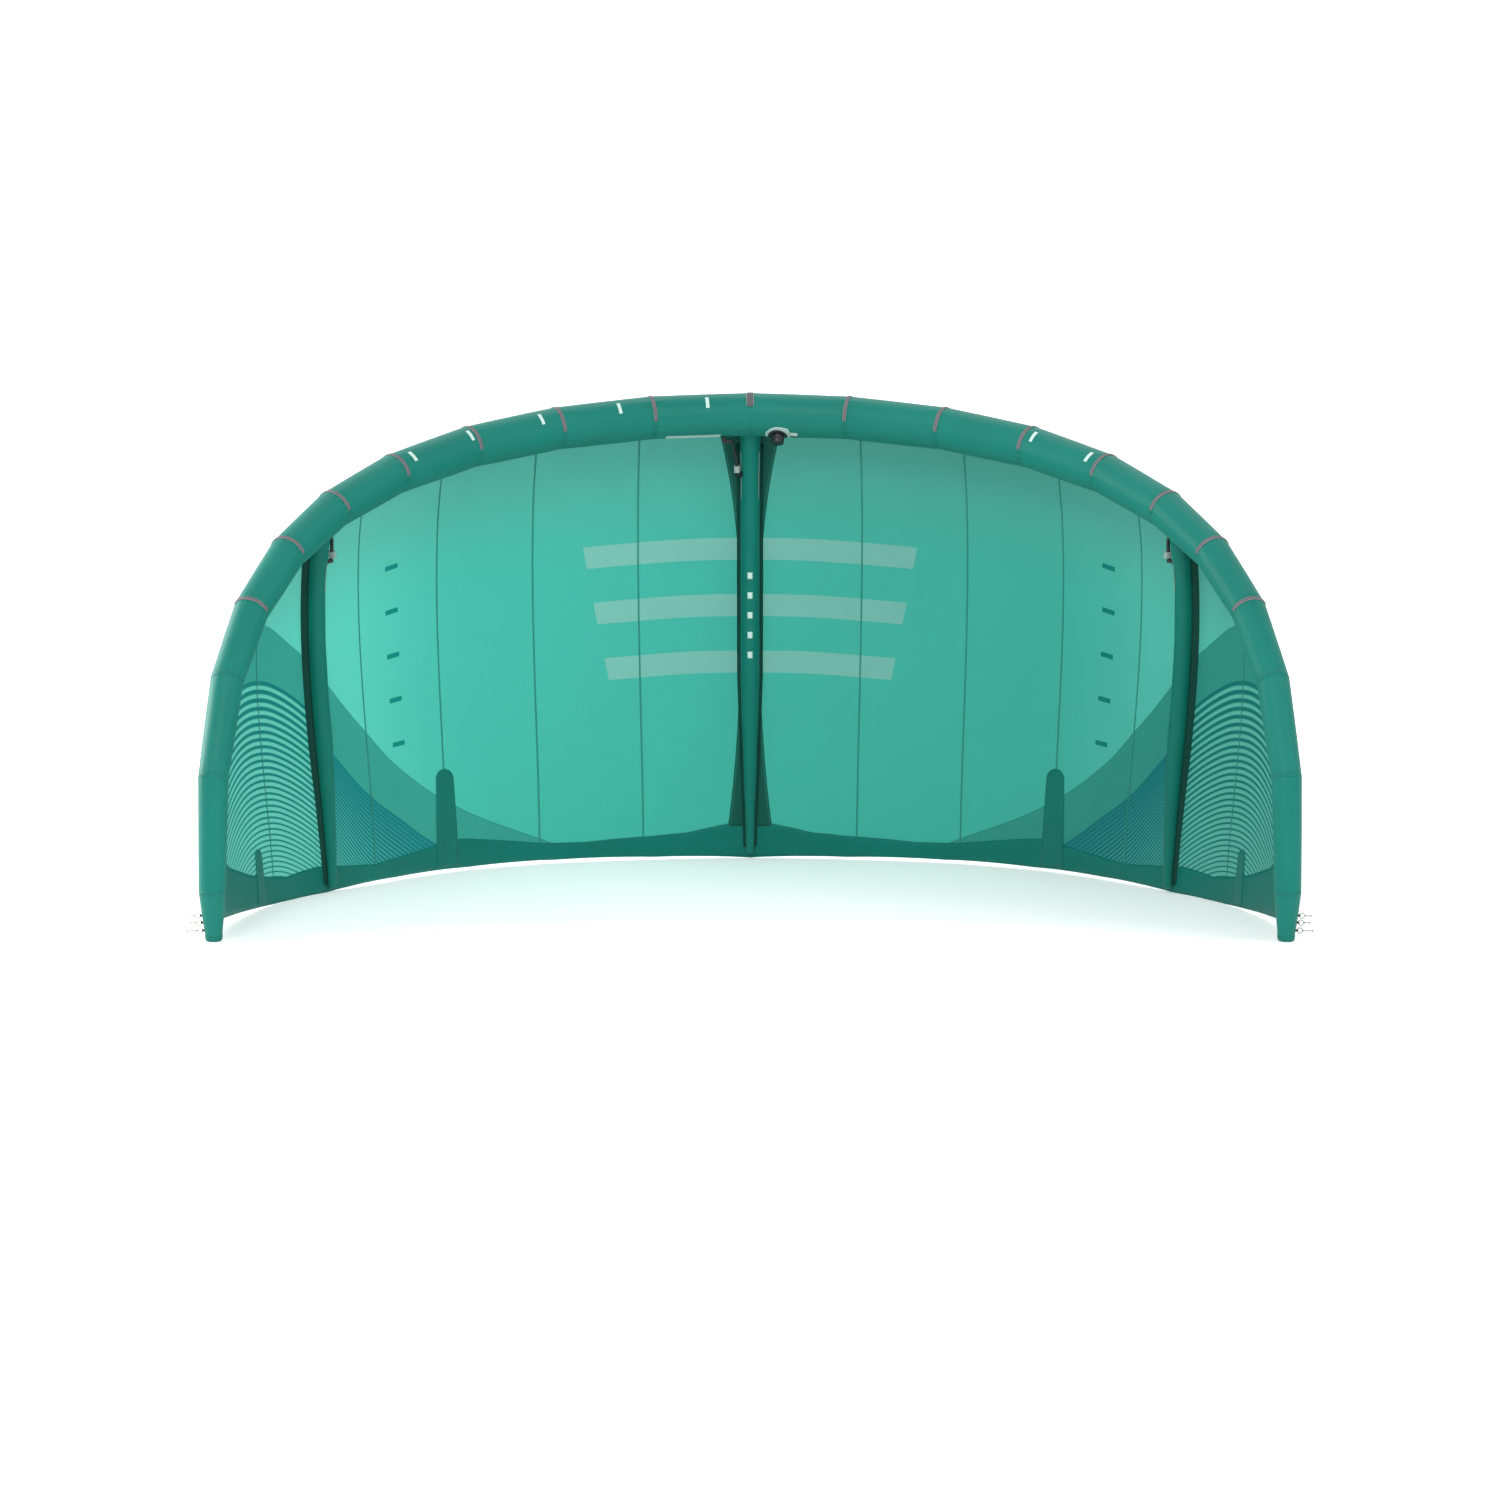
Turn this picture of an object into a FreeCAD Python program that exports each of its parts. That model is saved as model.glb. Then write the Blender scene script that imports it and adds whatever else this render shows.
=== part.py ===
"""Inflatable kitesurf kite, standing on its trailing edge and wingtips.

The kite is laid out in its flying frame (x span, y from the leading edge back to the
trailing edge, z up, millimetres) and turned at the end so that the plane of the
trailing edge is the floor.
"""
import FreeCAD, Part
import math
import os

V = FreeCAD.Vector

# ---------------------------------------------------------------- driving dimensions
# Leading edge: a tube of eleven straight cloth panels a side, mitred at each seam.
half_tube_length = 3550.0
tube_panel_lengths = [360, 360, 355, 345, 325, 300, 310, 305, 350, 380, 160]
tube_diameters = [155, 155, 152, 148, 142, 135, 126, 118, 110, 100, 88, 54]
arc_turn = 138.0            # droop of the tube, degrees, before easing
arc_ease = 42.0             # how much less it turns towards the tip
sweep_turn = 88.0           # how far the tip points back
sweep_power = 2.95          # how late the sweep comes
tube_wall = 2.0
bladder_gap = 1.0
bladder_wall = 1.5

# Canopy: seven cloth panels a side, from the centre seam to the tip.
seam_places = [0.0, 0.110, 0.218, 0.327, 0.433, 0.515, 0.614, 1.0]
edge_lifts = [60, 65, 100, 95, 50, 40, 45, 30]      # trailing edge above the tube's axis
edge_raises = [0, 8, 10, 8, 8, 0, 0, 45]            # scallop between the standing points
strut_seam = 5
batten_seam = 3
tip_seam = 6
canopy_end = 0.975
canopy_thickness = 2.0
camber_share = 0.027
attach_angle = 50.0
attach_gap = 1.5
stand_lean = 15.5           # trailing-edge plane against the square across the chord

# Reinforcing cloth, battens and their pockets
trim_gap = 0.3
trim_thickness = 1.0
band_heights = [125, 62, 57, 70, 70, 112, 100, 10]
band_end = 0.997
batten_length = 385.0
batten_width = 46.0
batten_thickness = 2.0
tip_batten_length = 205.0
tip_batten_width = 26.0
pocket_margin = 12.0
flare_front = [(112, 62), (67, 310), (38, 700)]
flare_rear = [(36, 930), (47, 1280), (76, 1575)]
flare_inner = 20.0

# Struts: front, middle and end radius, and where the taper starts
centre_strut_radii = (39.0, 35.0, 13.0)
side_strut_radii = (37.0, 33.0, 16.0)
strut_taper_start = 0.58
strut_wedge = 1.012         # a round tube between two panels that meet at a slight angle
strut_stations = [0.08, 0.17, 0.27, 0.37, 0.47, 0.58, 0.66, 0.75, 0.84, 0.92]
strut_end = 0.985
strut_wall = 2.0

# Seam guards and label on the tube
guard_width = 14.0
centre_guard_width = 30.0
guard_thickness = 2.0
guard_angles = (112.0, 264.0)
centre_guard_angles = (130.0, 233.0)
guard_count = 7
label_span = (0.0315, 0.0893)
label_angles = (316.0, 343.0)
label_thickness = 0.8

# Inflation valve, on the right of the centre strut
valve_place = 0.0296
valve_angle = -38.0
valve_patch_radius = 48.0
valve_patch_thickness = 1.5
valve_flange_radius = 36.0
valve_flange_thickness = 2.5
valve_neck_radius = 20.0
valve_neck_bore = 16.2
valve_neck_inside = 14.0    # how far the neck reaches into the tube
valve_neck_outside = 6.0    # and how far it stands out of it
valve_hole_gap = 0.4
collar_radius = 24.0
collar_height = 14.0
collar_bore = 10.0
collar_mouth = 12.5
collar_turn_gap = 0.08
collar_grip_count = 12
collar_grip_radius = 2.6
collar_stem = 10.0          # the collar's stem inside the neck
hinge_reach = 2.0           # bend line of the cap's strap, outside the collar
ear_size = (4.0, 10.0, 4.0)
strap_size = (3.95, 8.0, 3.0)
hinge_gap = 0.15
flap_radius = 13.0
flap_thickness = 1.5
cap_radius = 23.0
cap_height = 12.0
cap_rim = 3.0
cap_plug_depth = 3.0
cap_plug_gap = 1.2

# One-pump hoses, their elbows and pinch clips
hose_radius = 6.5
hose_bore = 4.5
barb_radius = 4.45
barb_bore = 2.5
barb_length = 12.0
elbow_radius = 6.0
elbow_flange_radius = 12.0
elbow_flange_thickness = 2.5
elbow_height = 18.0
centre_elbow_angle = -20.0
side_elbow_angle = 12.0
centre_hose_reach = (98.0, 184.0)       # along the tube, and back along the strut
side_hose_reach = (92.0, 118.0)
hose_side_angle = 28.0
hose_straight_run = 26.0                # straight length off the tube's elbow
hose_straight_end = 52.0                # straight length into the strut's elbow
hose_bow = (8.0, 4.0)                   # sag of the middle: forward, and away from the strut
elbow_corner_fillet = 2.5
elbow_bore_gap = 0.3
clip_bore = 6.8
clip_length = 24.0
clip_width = 20.0
clip_depth = 18.0
clip_pin_radius = 1.5
clip_pin_gap = 0.05
clip_corner_fillet = 2.0
clip_ear = (8.0, 3.0, 5.0)              # along, across, height
clip_ear_radius = 4.0
clip_hose_overlap = 6.0
lever_gap = 0.4
lever_thickness = 3.0
lever_barrel_radius = 3.2
lever_lip = (3.0, 6.0)                  # along, height

# Wingtip pigtails: rings of line through sewn tabs
pigtail_heights = [82.0, 58.0, 31.0]
pigtail_stubs = [21.0, 19.0, 34.0]
pigtail_ring_radius = 9.0
pigtail_line_radius = 1.3
tab_height = 8.0
tab_width = 6.0
tab_hole_radius = 2.3
knot_radius = 2.6

shapes = {}


# ---------------------------------------------------------------- the tube's own shape
def turn_angles(s):
    droop = math.radians(arc_turn * s - arc_ease * s * s)
    sweep = math.radians(sweep_turn * s ** sweep_power)
    return droop, sweep


def heading(s):
    """Direction of the tube's axis, from the centre towards the tip."""
    droop, sweep = turn_angles(s)
    return V(math.cos(sweep) * math.cos(droop), math.sin(sweep), -math.cos(sweep) * math.sin(droop))


def outward(s):
    """Square to the canopy, away from the kite's hollow side."""
    droop, _ = turn_angles(s)
    return V(math.sin(droop), 0, math.cos(droop))


def rearward(s):
    return outward(s).cross(heading(s))


def trace_axis(steps=600):
    points = [V(0, 0, 0)]
    for i in range(steps):
        middle = heading((i + 0.5) / steps)
        points.append(points[-1] + middle * (half_tube_length / steps))
    return points


axis_trace = trace_axis()


def curve_point(s):
    place = s * (len(axis_trace) - 1)
    i = min(int(place), len(axis_trace) - 2)
    return axis_trace[i] + (axis_trace[i + 1] - axis_trace[i]) * (place - i)


seam_total = float(sum(tube_panel_lengths))
ring_places = [sum(tube_panel_lengths[:k]) / seam_total for k in range(len(tube_panel_lengths) + 1)]
rings = []
for ring_place, ring_diameter in zip(ring_places, tube_diameters):
    rings.append((curve_point(ring_place), rearward(ring_place), outward(ring_place), ring_diameter / 2.0))


def ring_point(k, angle, lift):
    centre, back, out, radius = rings[k]
    a = math.radians(angle)
    return centre + (back * math.cos(a) + out * math.sin(a)) * (radius + lift)


def panel_of(s):
    k = 0
    while k < len(ring_places) - 2 and s > ring_places[k + 1]:
        k += 1
    return k, (s - ring_places[k]) / (ring_places[k + 1] - ring_places[k])


def tube_point(s, angle, lift=0.0):
    """A point on the tube's cloth (lift 0), angle measured from the rear over the outside."""
    k, share = panel_of(s)
    return ring_point(k, angle, lift) * (1 - share) + ring_point(k + 1, angle, lift) * share


def tube_frame(s, angle):
    """Surface point, the direction square to the cloth, and the axis direction there."""
    k, share = panel_of(s)
    centre = rings[k][0] * (1 - share) + rings[k + 1][0] * share
    surface = tube_point(s, angle)
    square = (surface - centre).normalize()
    along = (rings[k + 1][0] - rings[k][0]).normalize()
    square = (square - along * square.dot(along)).normalize()
    return surface, square, along


# ---------------------------------------------------------------- the canopy's own shape
def table(s, values):
    for i in range(len(seam_places) - 1):
        if s <= seam_places[i + 1]:
            share = (s - seam_places[i]) / (seam_places[i + 1] - seam_places[i])
            return values[i] + (values[i + 1] - values[i]) * share
    return values[-1]


lean = math.radians(stand_lean)
down = V(0, math.cos(lean), -math.sin(lean))      # towards the floor, in the flying frame
tip_centre = rings[-1][0]
tip_tilt = math.sqrt(1 - heading(1.0).dot(down) ** 2)
floor_depth = tip_centre.dot(down) + rings[-1][3] * tip_tilt


def front_edge(s):
    return tube_point(s, attach_angle, attach_gap)


def attach_height(s):
    k, share = panel_of(s)
    radius = rings[k][3] * (1 - share) + rings[k + 1][3] * share
    return (radius + attach_gap) * math.sin(math.radians(attach_angle))


def trailing_edge(s):
    out = outward(s)
    base = front_edge(s) + out * (table(s, edge_lifts) - attach_height(s))
    chord = (floor_depth - table(s, edge_raises) - base.dot(down)) / math.cos(lean)
    return base + V(0, chord, 0)


def chord_at(s):
    return (trailing_edge(s) - front_edge(s)).Length


def canopy_point(s, u, off=0.0):
    """u runs from the tube (0) to the trailing edge (1); off is outward."""
    front = front_edge(s)
    rise = camber_share * chord_at(s) * 6.75 * u * (1 - u) ** 2
    return front + (trailing_edge(s) - front) * u + outward(s) * (rise + off)


def cloth_section(s, start, stop, inner, outer, count=9):
    """Closed outline of a cloth sheet cut fore and aft at s."""
    stations = [start + (stop - start) * i / (count - 1.0) for i in range(count)]
    marks = [i / (count - 1.0) for i in range(count)]
    upper = Part.BSplineCurve()
    upper.interpolate(Points=[canopy_point(s, u, outer) for u in stations], Parameters=marks)
    lower = Part.BSplineCurve()
    lower.interpolate(Points=[canopy_point(s, u, inner) for u in stations], Parameters=marks)
    front = Part.makeLine(lower.value(0), upper.value(0))
    rear = Part.makeLine(upper.value(1), lower.value(1))
    return Part.Wire([front, upper.toShape(), rear, lower.toShape()])


def cloth(sections, inner, outer):
    """A sheet of cloth through (place, start, stop) sections."""
    wires = [cloth_section(s, start, stop, inner, outer) for s, start, stop in sections]
    return Part.makeLoft(wires, True, True)


def places_between(low, high):
    return [low] + [s for s in ring_places if low + 0.004 < s < high - 0.004] + [high]


# ---------------------------------------------------------------- general solids
def circle(centre, first, second, radius):
    third = first.cross(second)
    matrix = FreeCAD.Matrix(first.x, second.x, third.x, centre.x,
                            first.y, second.y, third.y, centre.y,
                            first.z, second.z, third.z, centre.z, 0, 0, 0, 1)
    edge = Part.makeCircle(radius)
    edge.Placement = FreeCAD.Placement(matrix)
    return Part.Wire([edge])


def placed(shape, origin, x_way, y_way):
    z_way = x_way.cross(y_way)
    matrix = FreeCAD.Matrix(x_way.x, y_way.x, z_way.x, origin.x,
                            x_way.y, y_way.y, z_way.y, origin.y,
                            x_way.z, y_way.z, z_way.z, origin.z, 0, 0, 0, 1)
    copy = shape.copy()
    copy.Placement = FreeCAD.Placement(matrix).multiply(copy.Placement)
    return copy


def mirrored(shape):
    return shape.mirror(V(0, 0, 0), V(1, 0, 0))


def rod(start, way, radius, length):
    return Part.makeCylinder(radius, length, start, way)


def ring_stack(indices, shrink):
    wires = [circle(rings[k][0], rings[k][1], rings[k][2], rings[k][3] - shrink) for k in indices]
    return Part.makeLoft(wires, True, True)


def tube_between(low, high, lift):
    """The tube's filled shape from ring low to ring high, on both sides of the centre if low < 0."""
    solid = ring_stack(range(max(low, 0), high + 1), -lift)
    if low < 0:
        solid = solid.fuse(mirrored(solid))
    return solid


def wrap(places, angles, lift, thickness):
    """A thin skin that lies round the tube between two angles."""
    turns = (angles[0], (angles[0] + angles[1]) / 2.0, angles[1])
    wires = []
    for s in places:
        rear, outer, front = [tube_point(s, a) for a in (0.0, 90.0, 180.0)]
        square = (outer - rear).cross(front - rear).normalize()

        def flat(point):
            return point - square * (point - rear).dot(square)

        inside = [flat(tube_point(s, a, lift)) for a in turns]
        outside = [flat(tube_point(s, a, lift + thickness)) for a in turns]
        wires.append(Part.Wire([
            Part.Arc(inside[0], inside[1], inside[2]).toShape(),
            Part.makeLine(inside[2], outside[2]),
            Part.Arc(outside[2], outside[1], outside[0]).toShape(),
            Part.makeLine(outside[0], inside[0]),
        ]))
    return Part.makeLoft(wires, True, True)


def group(solids):
    return Part.makeCompound(solids)


def both_sides(name, solid):
    shapes[name + "_right"] = solid
    shapes[name + "_left"] = mirrored(solid)


# ---------------------------------------------------------------- inflation valve
def valve_frame():
    surface, square, along = tube_frame(valve_place, valve_angle)
    across = square.cross(along) * -1
    return surface, square, along, across


def make_valve():
    surface, square, along, across = valve_frame()
    turn = math.degrees(valve_patch_radius / rings[0][3]) + 6
    reach = (valve_patch_radius + 12) / half_tube_length
    places = [max(valve_place - reach, 0.0), valve_place + reach]
    angles = (valve_angle - turn, valve_angle + turn)

    def disc(radius, lift, thickness):
        skin = wrap(places, angles, lift, thickness)
        return skin.common(rod(surface - square * 40, square, radius, 60))

    def bore(radius, depth=30.0):
        return rod(surface - square * depth, square, radius, 2 * depth)

    hole = bore(valve_neck_radius + valve_hole_gap)
    flange_lift = trim_gap + valve_patch_thickness + trim_gap
    shapes["valve_patch"] = disc(valve_patch_radius, trim_gap, valve_patch_thickness).cut(hole)
    neck = rod(surface - square * valve_neck_inside, square, valve_neck_radius,
               valve_neck_inside + valve_neck_outside)
    base = disc(valve_flange_radius, flange_lift, valve_flange_thickness).fuse(neck)
    shapes["valve_base"] = base.cut(bore(valve_neck_bore)).removeSplitter()

    collar_foot = surface + square * (valve_neck_outside + trim_gap)
    collar_top = collar_foot + square * collar_height
    collar = rod(collar_foot, square, collar_radius, collar_height)
    stem_radius = valve_neck_bore - collar_turn_gap
    stem_length = collar_stem + valve_neck_outside + 2
    collar = collar.fuse(rod(surface - square * collar_stem, square, stem_radius, stem_length))
    collar = collar.cut(bore(collar_bore))
    collar = collar.cut(rod(collar_top - square * (cap_plug_depth + 0.5), square, collar_mouth, 20))
    for i in range(collar_grip_count):
        spoke = math.radians(360.0 / collar_grip_count * i)
        way = along * math.cos(spoke) + across * math.sin(spoke)
        grip_foot = collar_foot - square + way * (collar_radius + 1.2)
        collar = collar.cut(rod(grip_foot, square, collar_grip_radius, collar_height + 2))

    # The strap bends at the line where its end meets the ear's.
    hinge = collar_top + square * hinge_gap + across * (collar_radius + hinge_reach)
    ear = Part.makeBox(*ear_size, V(-ear_size[0] - 0.05, -ear_size[1] / 2, -ear_size[2]))
    collar = collar.fuse(placed(ear, hinge - square * hinge_gap, across, along))
    shapes["valve_collar"] = collar.removeSplitter()
    cap_foot = collar_top + square * (2 * hinge_gap)
    cap = rod(cap_foot, square, cap_radius, cap_height)
    rim = [e for e in cap.Edges if abs((e.CenterOfMass - cap_foot).dot(square) - cap_height) < 0.1]
    cap = cap.makeFillet(cap_rim, rim)
    plug = Part.makeCone(collar_mouth - cap_plug_gap, collar_mouth - cap_plug_gap / 2, cap_plug_depth,
                         cap_foot - square * cap_plug_depth, square)
    strap = Part.makeBox(*strap_size, V(-strap_size[0] - 0.05, -strap_size[1] / 2, 0.0))
    cap = cap.fuse(plug).fuse(placed(strap, hinge + square * hinge_gap, across, along))
    shapes["valve_cap"] = cap.removeSplitter()

    flap_top = surface - square * (collar_stem + trim_gap)
    shapes["valve_flap"] = rod(flap_top - square * flap_thickness, square, flap_radius, flap_thickness)
    return hole, hinge, flap_top + across * flap_radius


# ---------------------------------------------------------------- leading edge
def make_leading_edge(valve_hole):
    panels = []
    for k in range(len(tube_panel_lengths)):
        panels.append(ring_stack([k, k + 1], 0).cut(ring_stack([k, k + 1], tube_wall)))
    left = [mirrored(panel) for panel in panels]
    panels[0] = panels[0].cut(valve_hole)
    inboard = 5
    shapes["tube_panels_inner_right"] = group(panels[:inboard])
    shapes["tube_panels_outer_right"] = group(panels[inboard:])
    shapes["tube_panels_inner_left"] = group(left[:inboard])
    shapes["tube_panels_outer_left"] = group(left[inboard:])

    last = rings[-1]
    way = heading(1.0)
    cup_depth = 14.0
    cup_radius = last[3] - tube_wall - trim_gap
    cup = rod(last[0] - way * (cup_depth + 2), way, cup_radius, cup_depth)
    cup = cup.cut(rod(last[0] - way * cup_depth, way, cup_radius - 2.5, cup_depth + 2))
    shapes["tip_plugs"] = group([cup, mirrored(cup)])

    skin_out = tube_wall + bladder_gap
    skin_in = skin_out + bladder_wall
    share = 0.8
    end_centre = rings[-2][0] + (last[0] - rings[-2][0]) * share
    end_radius = rings[-2][3] + (last[3] - rings[-2][3]) * share - bladder_gap
    filled = []
    for shrink in (skin_out, skin_in):
        wires = []
        for k in range(len(rings) - 1):
            wires.append(circle(rings[k][0], rings[k][1], rings[k][2], rings[k][3] - shrink))
        pull = way * (shrink - skin_out)
        wires.append(circle(end_centre - pull, last[1], last[2], end_radius - shrink))
        half = Part.makeLoft(wires, True, True)
        filled.append(half.fuse(mirrored(half)))
    shapes["tube_bladder"] = filled[0].cut(filled[1]).cut(valve_hole).removeSplitter()

    guards = []
    reach = guard_width / 2.0 / half_tube_length
    for k in range(1, guard_count + 1):
        middle = ring_places[k]
        guard = wrap([middle - reach, middle, middle + reach], guard_angles, trim_gap, guard_thickness)
        guards += [guard, mirrored(guard)]
    reach = centre_guard_width / 2.0 / half_tube_length
    half = wrap([0.0, reach], centre_guard_angles, trim_gap, guard_thickness)
    guards.append(half.fuse(mirrored(half)))
    shapes["seam_guards"] = group(guards)
    label = wrap(list(label_span), label_angles, trim_gap, label_thickness)
    shapes["blank_label"] = mirrored(label)


# ---------------------------------------------------------------- canopy
def make_canopy():
    half = canopy_thickness / 2.0
    for number in range(1, len(seam_places)):
        high = min(seam_places[number], canopy_end)
        sections = [(s, 0.0, 1.0) for s in places_between(seam_places[number - 1], high)]
        both_sides("canopy_%d" % number, cloth(sections, -half, half))

    band_outer = -half - trim_gap
    band_inner = band_outer - trim_thickness
    band_sections = []
    band_places = []
    for low, high in zip(seam_places[:-1], seam_places[1:]):
        band_places += places_between(low, min(high, canopy_end))[:-1]
    band_places.append(canopy_end)
    for s in band_places:
        band_sections.append((s, max(0.2, 1 - table(s, band_heights) / chord_at(s)), band_end))
    both_sides("trailing_band", cloth(band_sections, band_inner, band_outer))

    batten_outer = band_inner - trim_gap
    batten_inner = batten_outer - batten_thickness
    pocket_outer = batten_inner - trim_gap
    layers = {"batten": (batten_inner, batten_outer, 0.0),
              "batten_pocket": (pocket_outer - trim_thickness, pocket_outer, pocket_margin)}
    tip_place = seam_places[tip_seam] + 0.032
    kinds = [("", seam_places[batten_seam], batten_length, batten_width),
             ("tip_", tip_place, tip_batten_length, tip_batten_width)]
    for prefix, middle, length, width in kinds:
        reach = (width + 2 * pocket_margin) / half_tube_length
        rim = trailing_edge(middle)
        side = rearward(middle).cross(outward(middle)).normalize()
        side = V(side.x, 0, side.z).normalize()
        for layer, (inner, outer, margin) in layers.items():
            start = 1 - (length + margin + 30) / chord_at(middle)
            places = places_between(middle - reach, middle + reach)
            if prefix == "":
                places = sorted(places + [middle])
            sheet = cloth([(s, start, 0.985) for s in places], inner, outer)
            half_width = width / 2.0 + margin
            body = length + margin - half_width
            stencil = Part.makeBox(2 * half_width, body + 60, 240, V(-half_width, -body, -120))
            stencil = stencil.fuse(Part.makeCylinder(half_width, 240, V(0, -body, -120)))
            stencil = placed(stencil.removeSplitter(), rim, side, V(0, 1, 0))
            piece = sheet.common(stencil)
            if layer == "batten":
                shapes[prefix + "battens"] = group([piece, mirrored(piece)])
            else:
                both_sides(prefix + layer, piece)

    flares = []
    flare_sheet = cloth([(0.0, 0.0, 0.95), (seam_places[1], 0.0, 0.95)], band_inner, band_outer)
    for outline in (flare_front, flare_rear):
        edge = Part.BSplineCurve()
        edge.interpolate([V(x, y, -300) for x, y in outline])
        first, last = outline[0], outline[-1]
        corners = [V(last[0], last[1], -300), V(flare_inner, last[1], -300),
                   V(flare_inner, first[1], -300), V(first[0], first[1], -300)]
        sides = [Part.makeLine(corners[i], corners[i + 1]) for i in range(3)]
        stencil = Part.Face(Part.Wire([edge.toShape()] + sides)).extrude(V(0, 0, 700))
        flare = flare_sheet.common(stencil)
        flares += [flare, mirrored(flare)]
    shapes["strut_flares"] = group(flares)


# ---------------------------------------------------------------- struts
def strut_radius(u, radii):
    front, middle, end = radii
    if u < 0.13:
        return front + (middle - front) * u / 0.13
    if u < strut_taper_start:
        return middle
    return middle + (end - middle) * (u - strut_taper_start) / (1 - strut_taper_start)


def strut_axis(place, u, radii):
    under_cloth = canopy_thickness / 2.0 + trim_gap + trim_thickness + trim_gap
    hang = strut_radius(u, radii) * strut_wedge + under_cloth
    return canopy_point(place, u, -hang)


def strut_frame(place, u, radii):
    """Centre, span direction, the way to the rear, and the way towards the canopy."""
    side = V(outward(place).z, 0, -outward(place).x)
    way = (strut_axis(place, u + 0.01, radii) - strut_axis(place, u - 0.01, radii)).normalize()
    return strut_axis(place, u, radii), side, way, side.cross(way).normalize()


def strut_stack(place, radii, stations, shrink):
    wires = []
    for u in stations:
        centre, side, _, up = strut_frame(place, u, radii)
        wires.append(circle(centre, side, up, strut_radius(u, radii) - shrink))
    return Part.makeLoft(wires, True, True)


def make_strut(place, radii, keep_out):
    sleeve = strut_stack(place, radii, [-0.03] + strut_stations + [strut_end], 0)
    bore = strut_stack(place, radii, [-0.04] + strut_stations + [strut_end - 0.0015], strut_wall)
    sleeve = sleeve.cut(bore).cut(keep_out)
    solids = sorted(sleeve.Solids, key=lambda solid: -solid.Volume)
    gap = strut_wall + bladder_gap
    filled = strut_stack(place, radii, strut_stations, gap)
    ends = [strut_stations[0] + 0.0015] + strut_stations[1:-1] + [strut_stations[-1] - 0.0015]
    hollow = strut_stack(place, radii, ends, gap + bladder_wall)
    return solids[0], filled.cut(hollow)


def make_struts():
    keep = tube_between(-1, 2, trim_gap)
    sleeve, bladder = make_strut(0.0, centre_strut_radii, keep)
    shapes["centre_strut"] = sleeve
    shapes["centre_strut_bladder"] = bladder
    place = seam_places[strut_seam]
    k, _ = panel_of(place)
    sleeve, bladder = make_strut(place, side_strut_radii, tube_between(k - 1, k + 2, trim_gap))
    both_sides("side_strut", sleeve)
    both_sides("side_strut_bladder", bladder)


# ---------------------------------------------------------------- one-pump hoses
def rounded_path(points):
    """Straight runs joined by tangent arcs, as one wire."""
    edges = []
    start = points[0]
    for before, corner, after in zip(points, points[1:], points[2:]):
        back = (before - corner)
        ahead = (after - corner)
        turn = math.pi - back.getAngle(ahead)
        cut_back = 0.45 * min(back.Length, ahead.Length)
        first = corner + back.normalize() * cut_back
        last = corner + ahead.normalize() * cut_back
        bisector = (first + last) * 0.5 - corner
        radius = cut_back / math.tan(turn / 2)
        middle = corner + bisector.normalize() * (math.hypot(cut_back, radius) - radius)
        edges.append(Part.makeLine(start, first))
        edges.append(Part.Arc(first, middle, last).toShape())
        start = last
    edges.append(Part.makeLine(start, points[-1]))
    return Part.Wire(edges)


def pipe(points, radius, bore):
    path = rounded_path(points)
    way = (points[1] - points[0]).normalize()
    side = way.cross(V(0.3, 0.2, 1)).normalize()
    other = way.cross(side)
    outer = path.makePipeShell([circle(points[0], side, other, radius)], True, False)
    inner = path.makePipeShell([circle(points[0], side, other, bore)], True, False)
    return outer.cut(inner)


def make_elbow(seat, square, way):
    """A barbed elbow: flange on the cloth, stub standing off it, barb pointing along way."""
    corner = seat + square * elbow_height
    barb = barb_length + elbow_radius + 1
    post_height = elbow_height + elbow_radius - trim_gap
    post = Part.makeBox(2 * elbow_radius, 2 * elbow_radius, post_height, V(-elbow_radius, -elbow_radius, 0))
    post = post.makeFillet(elbow_corner_fillet, [e for e in post.Edges if abs(e.tangentAt(e.FirstParameter).z) > 0.9])
    post = placed(post, seat + square * trim_gap, way, square.cross(way).normalize())
    solid = rod(seat + square * trim_gap, square, elbow_flange_radius, elbow_flange_thickness)
    solid = solid.fuse(post).fuse(rod(corner, way, elbow_radius - 0.8, barb - barb_length))
    solid = solid.fuse(rod(corner, way, barb_radius, barb))
    bore = rod(seat - square, square, barb_bore + elbow_bore_gap, elbow_height + barb_bore + 2)
    bore = bore.fuse(rod(corner, way, barb_bore, barb + 1))
    return solid.cut(bore), corner + way * (barb - barb_length)


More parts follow.
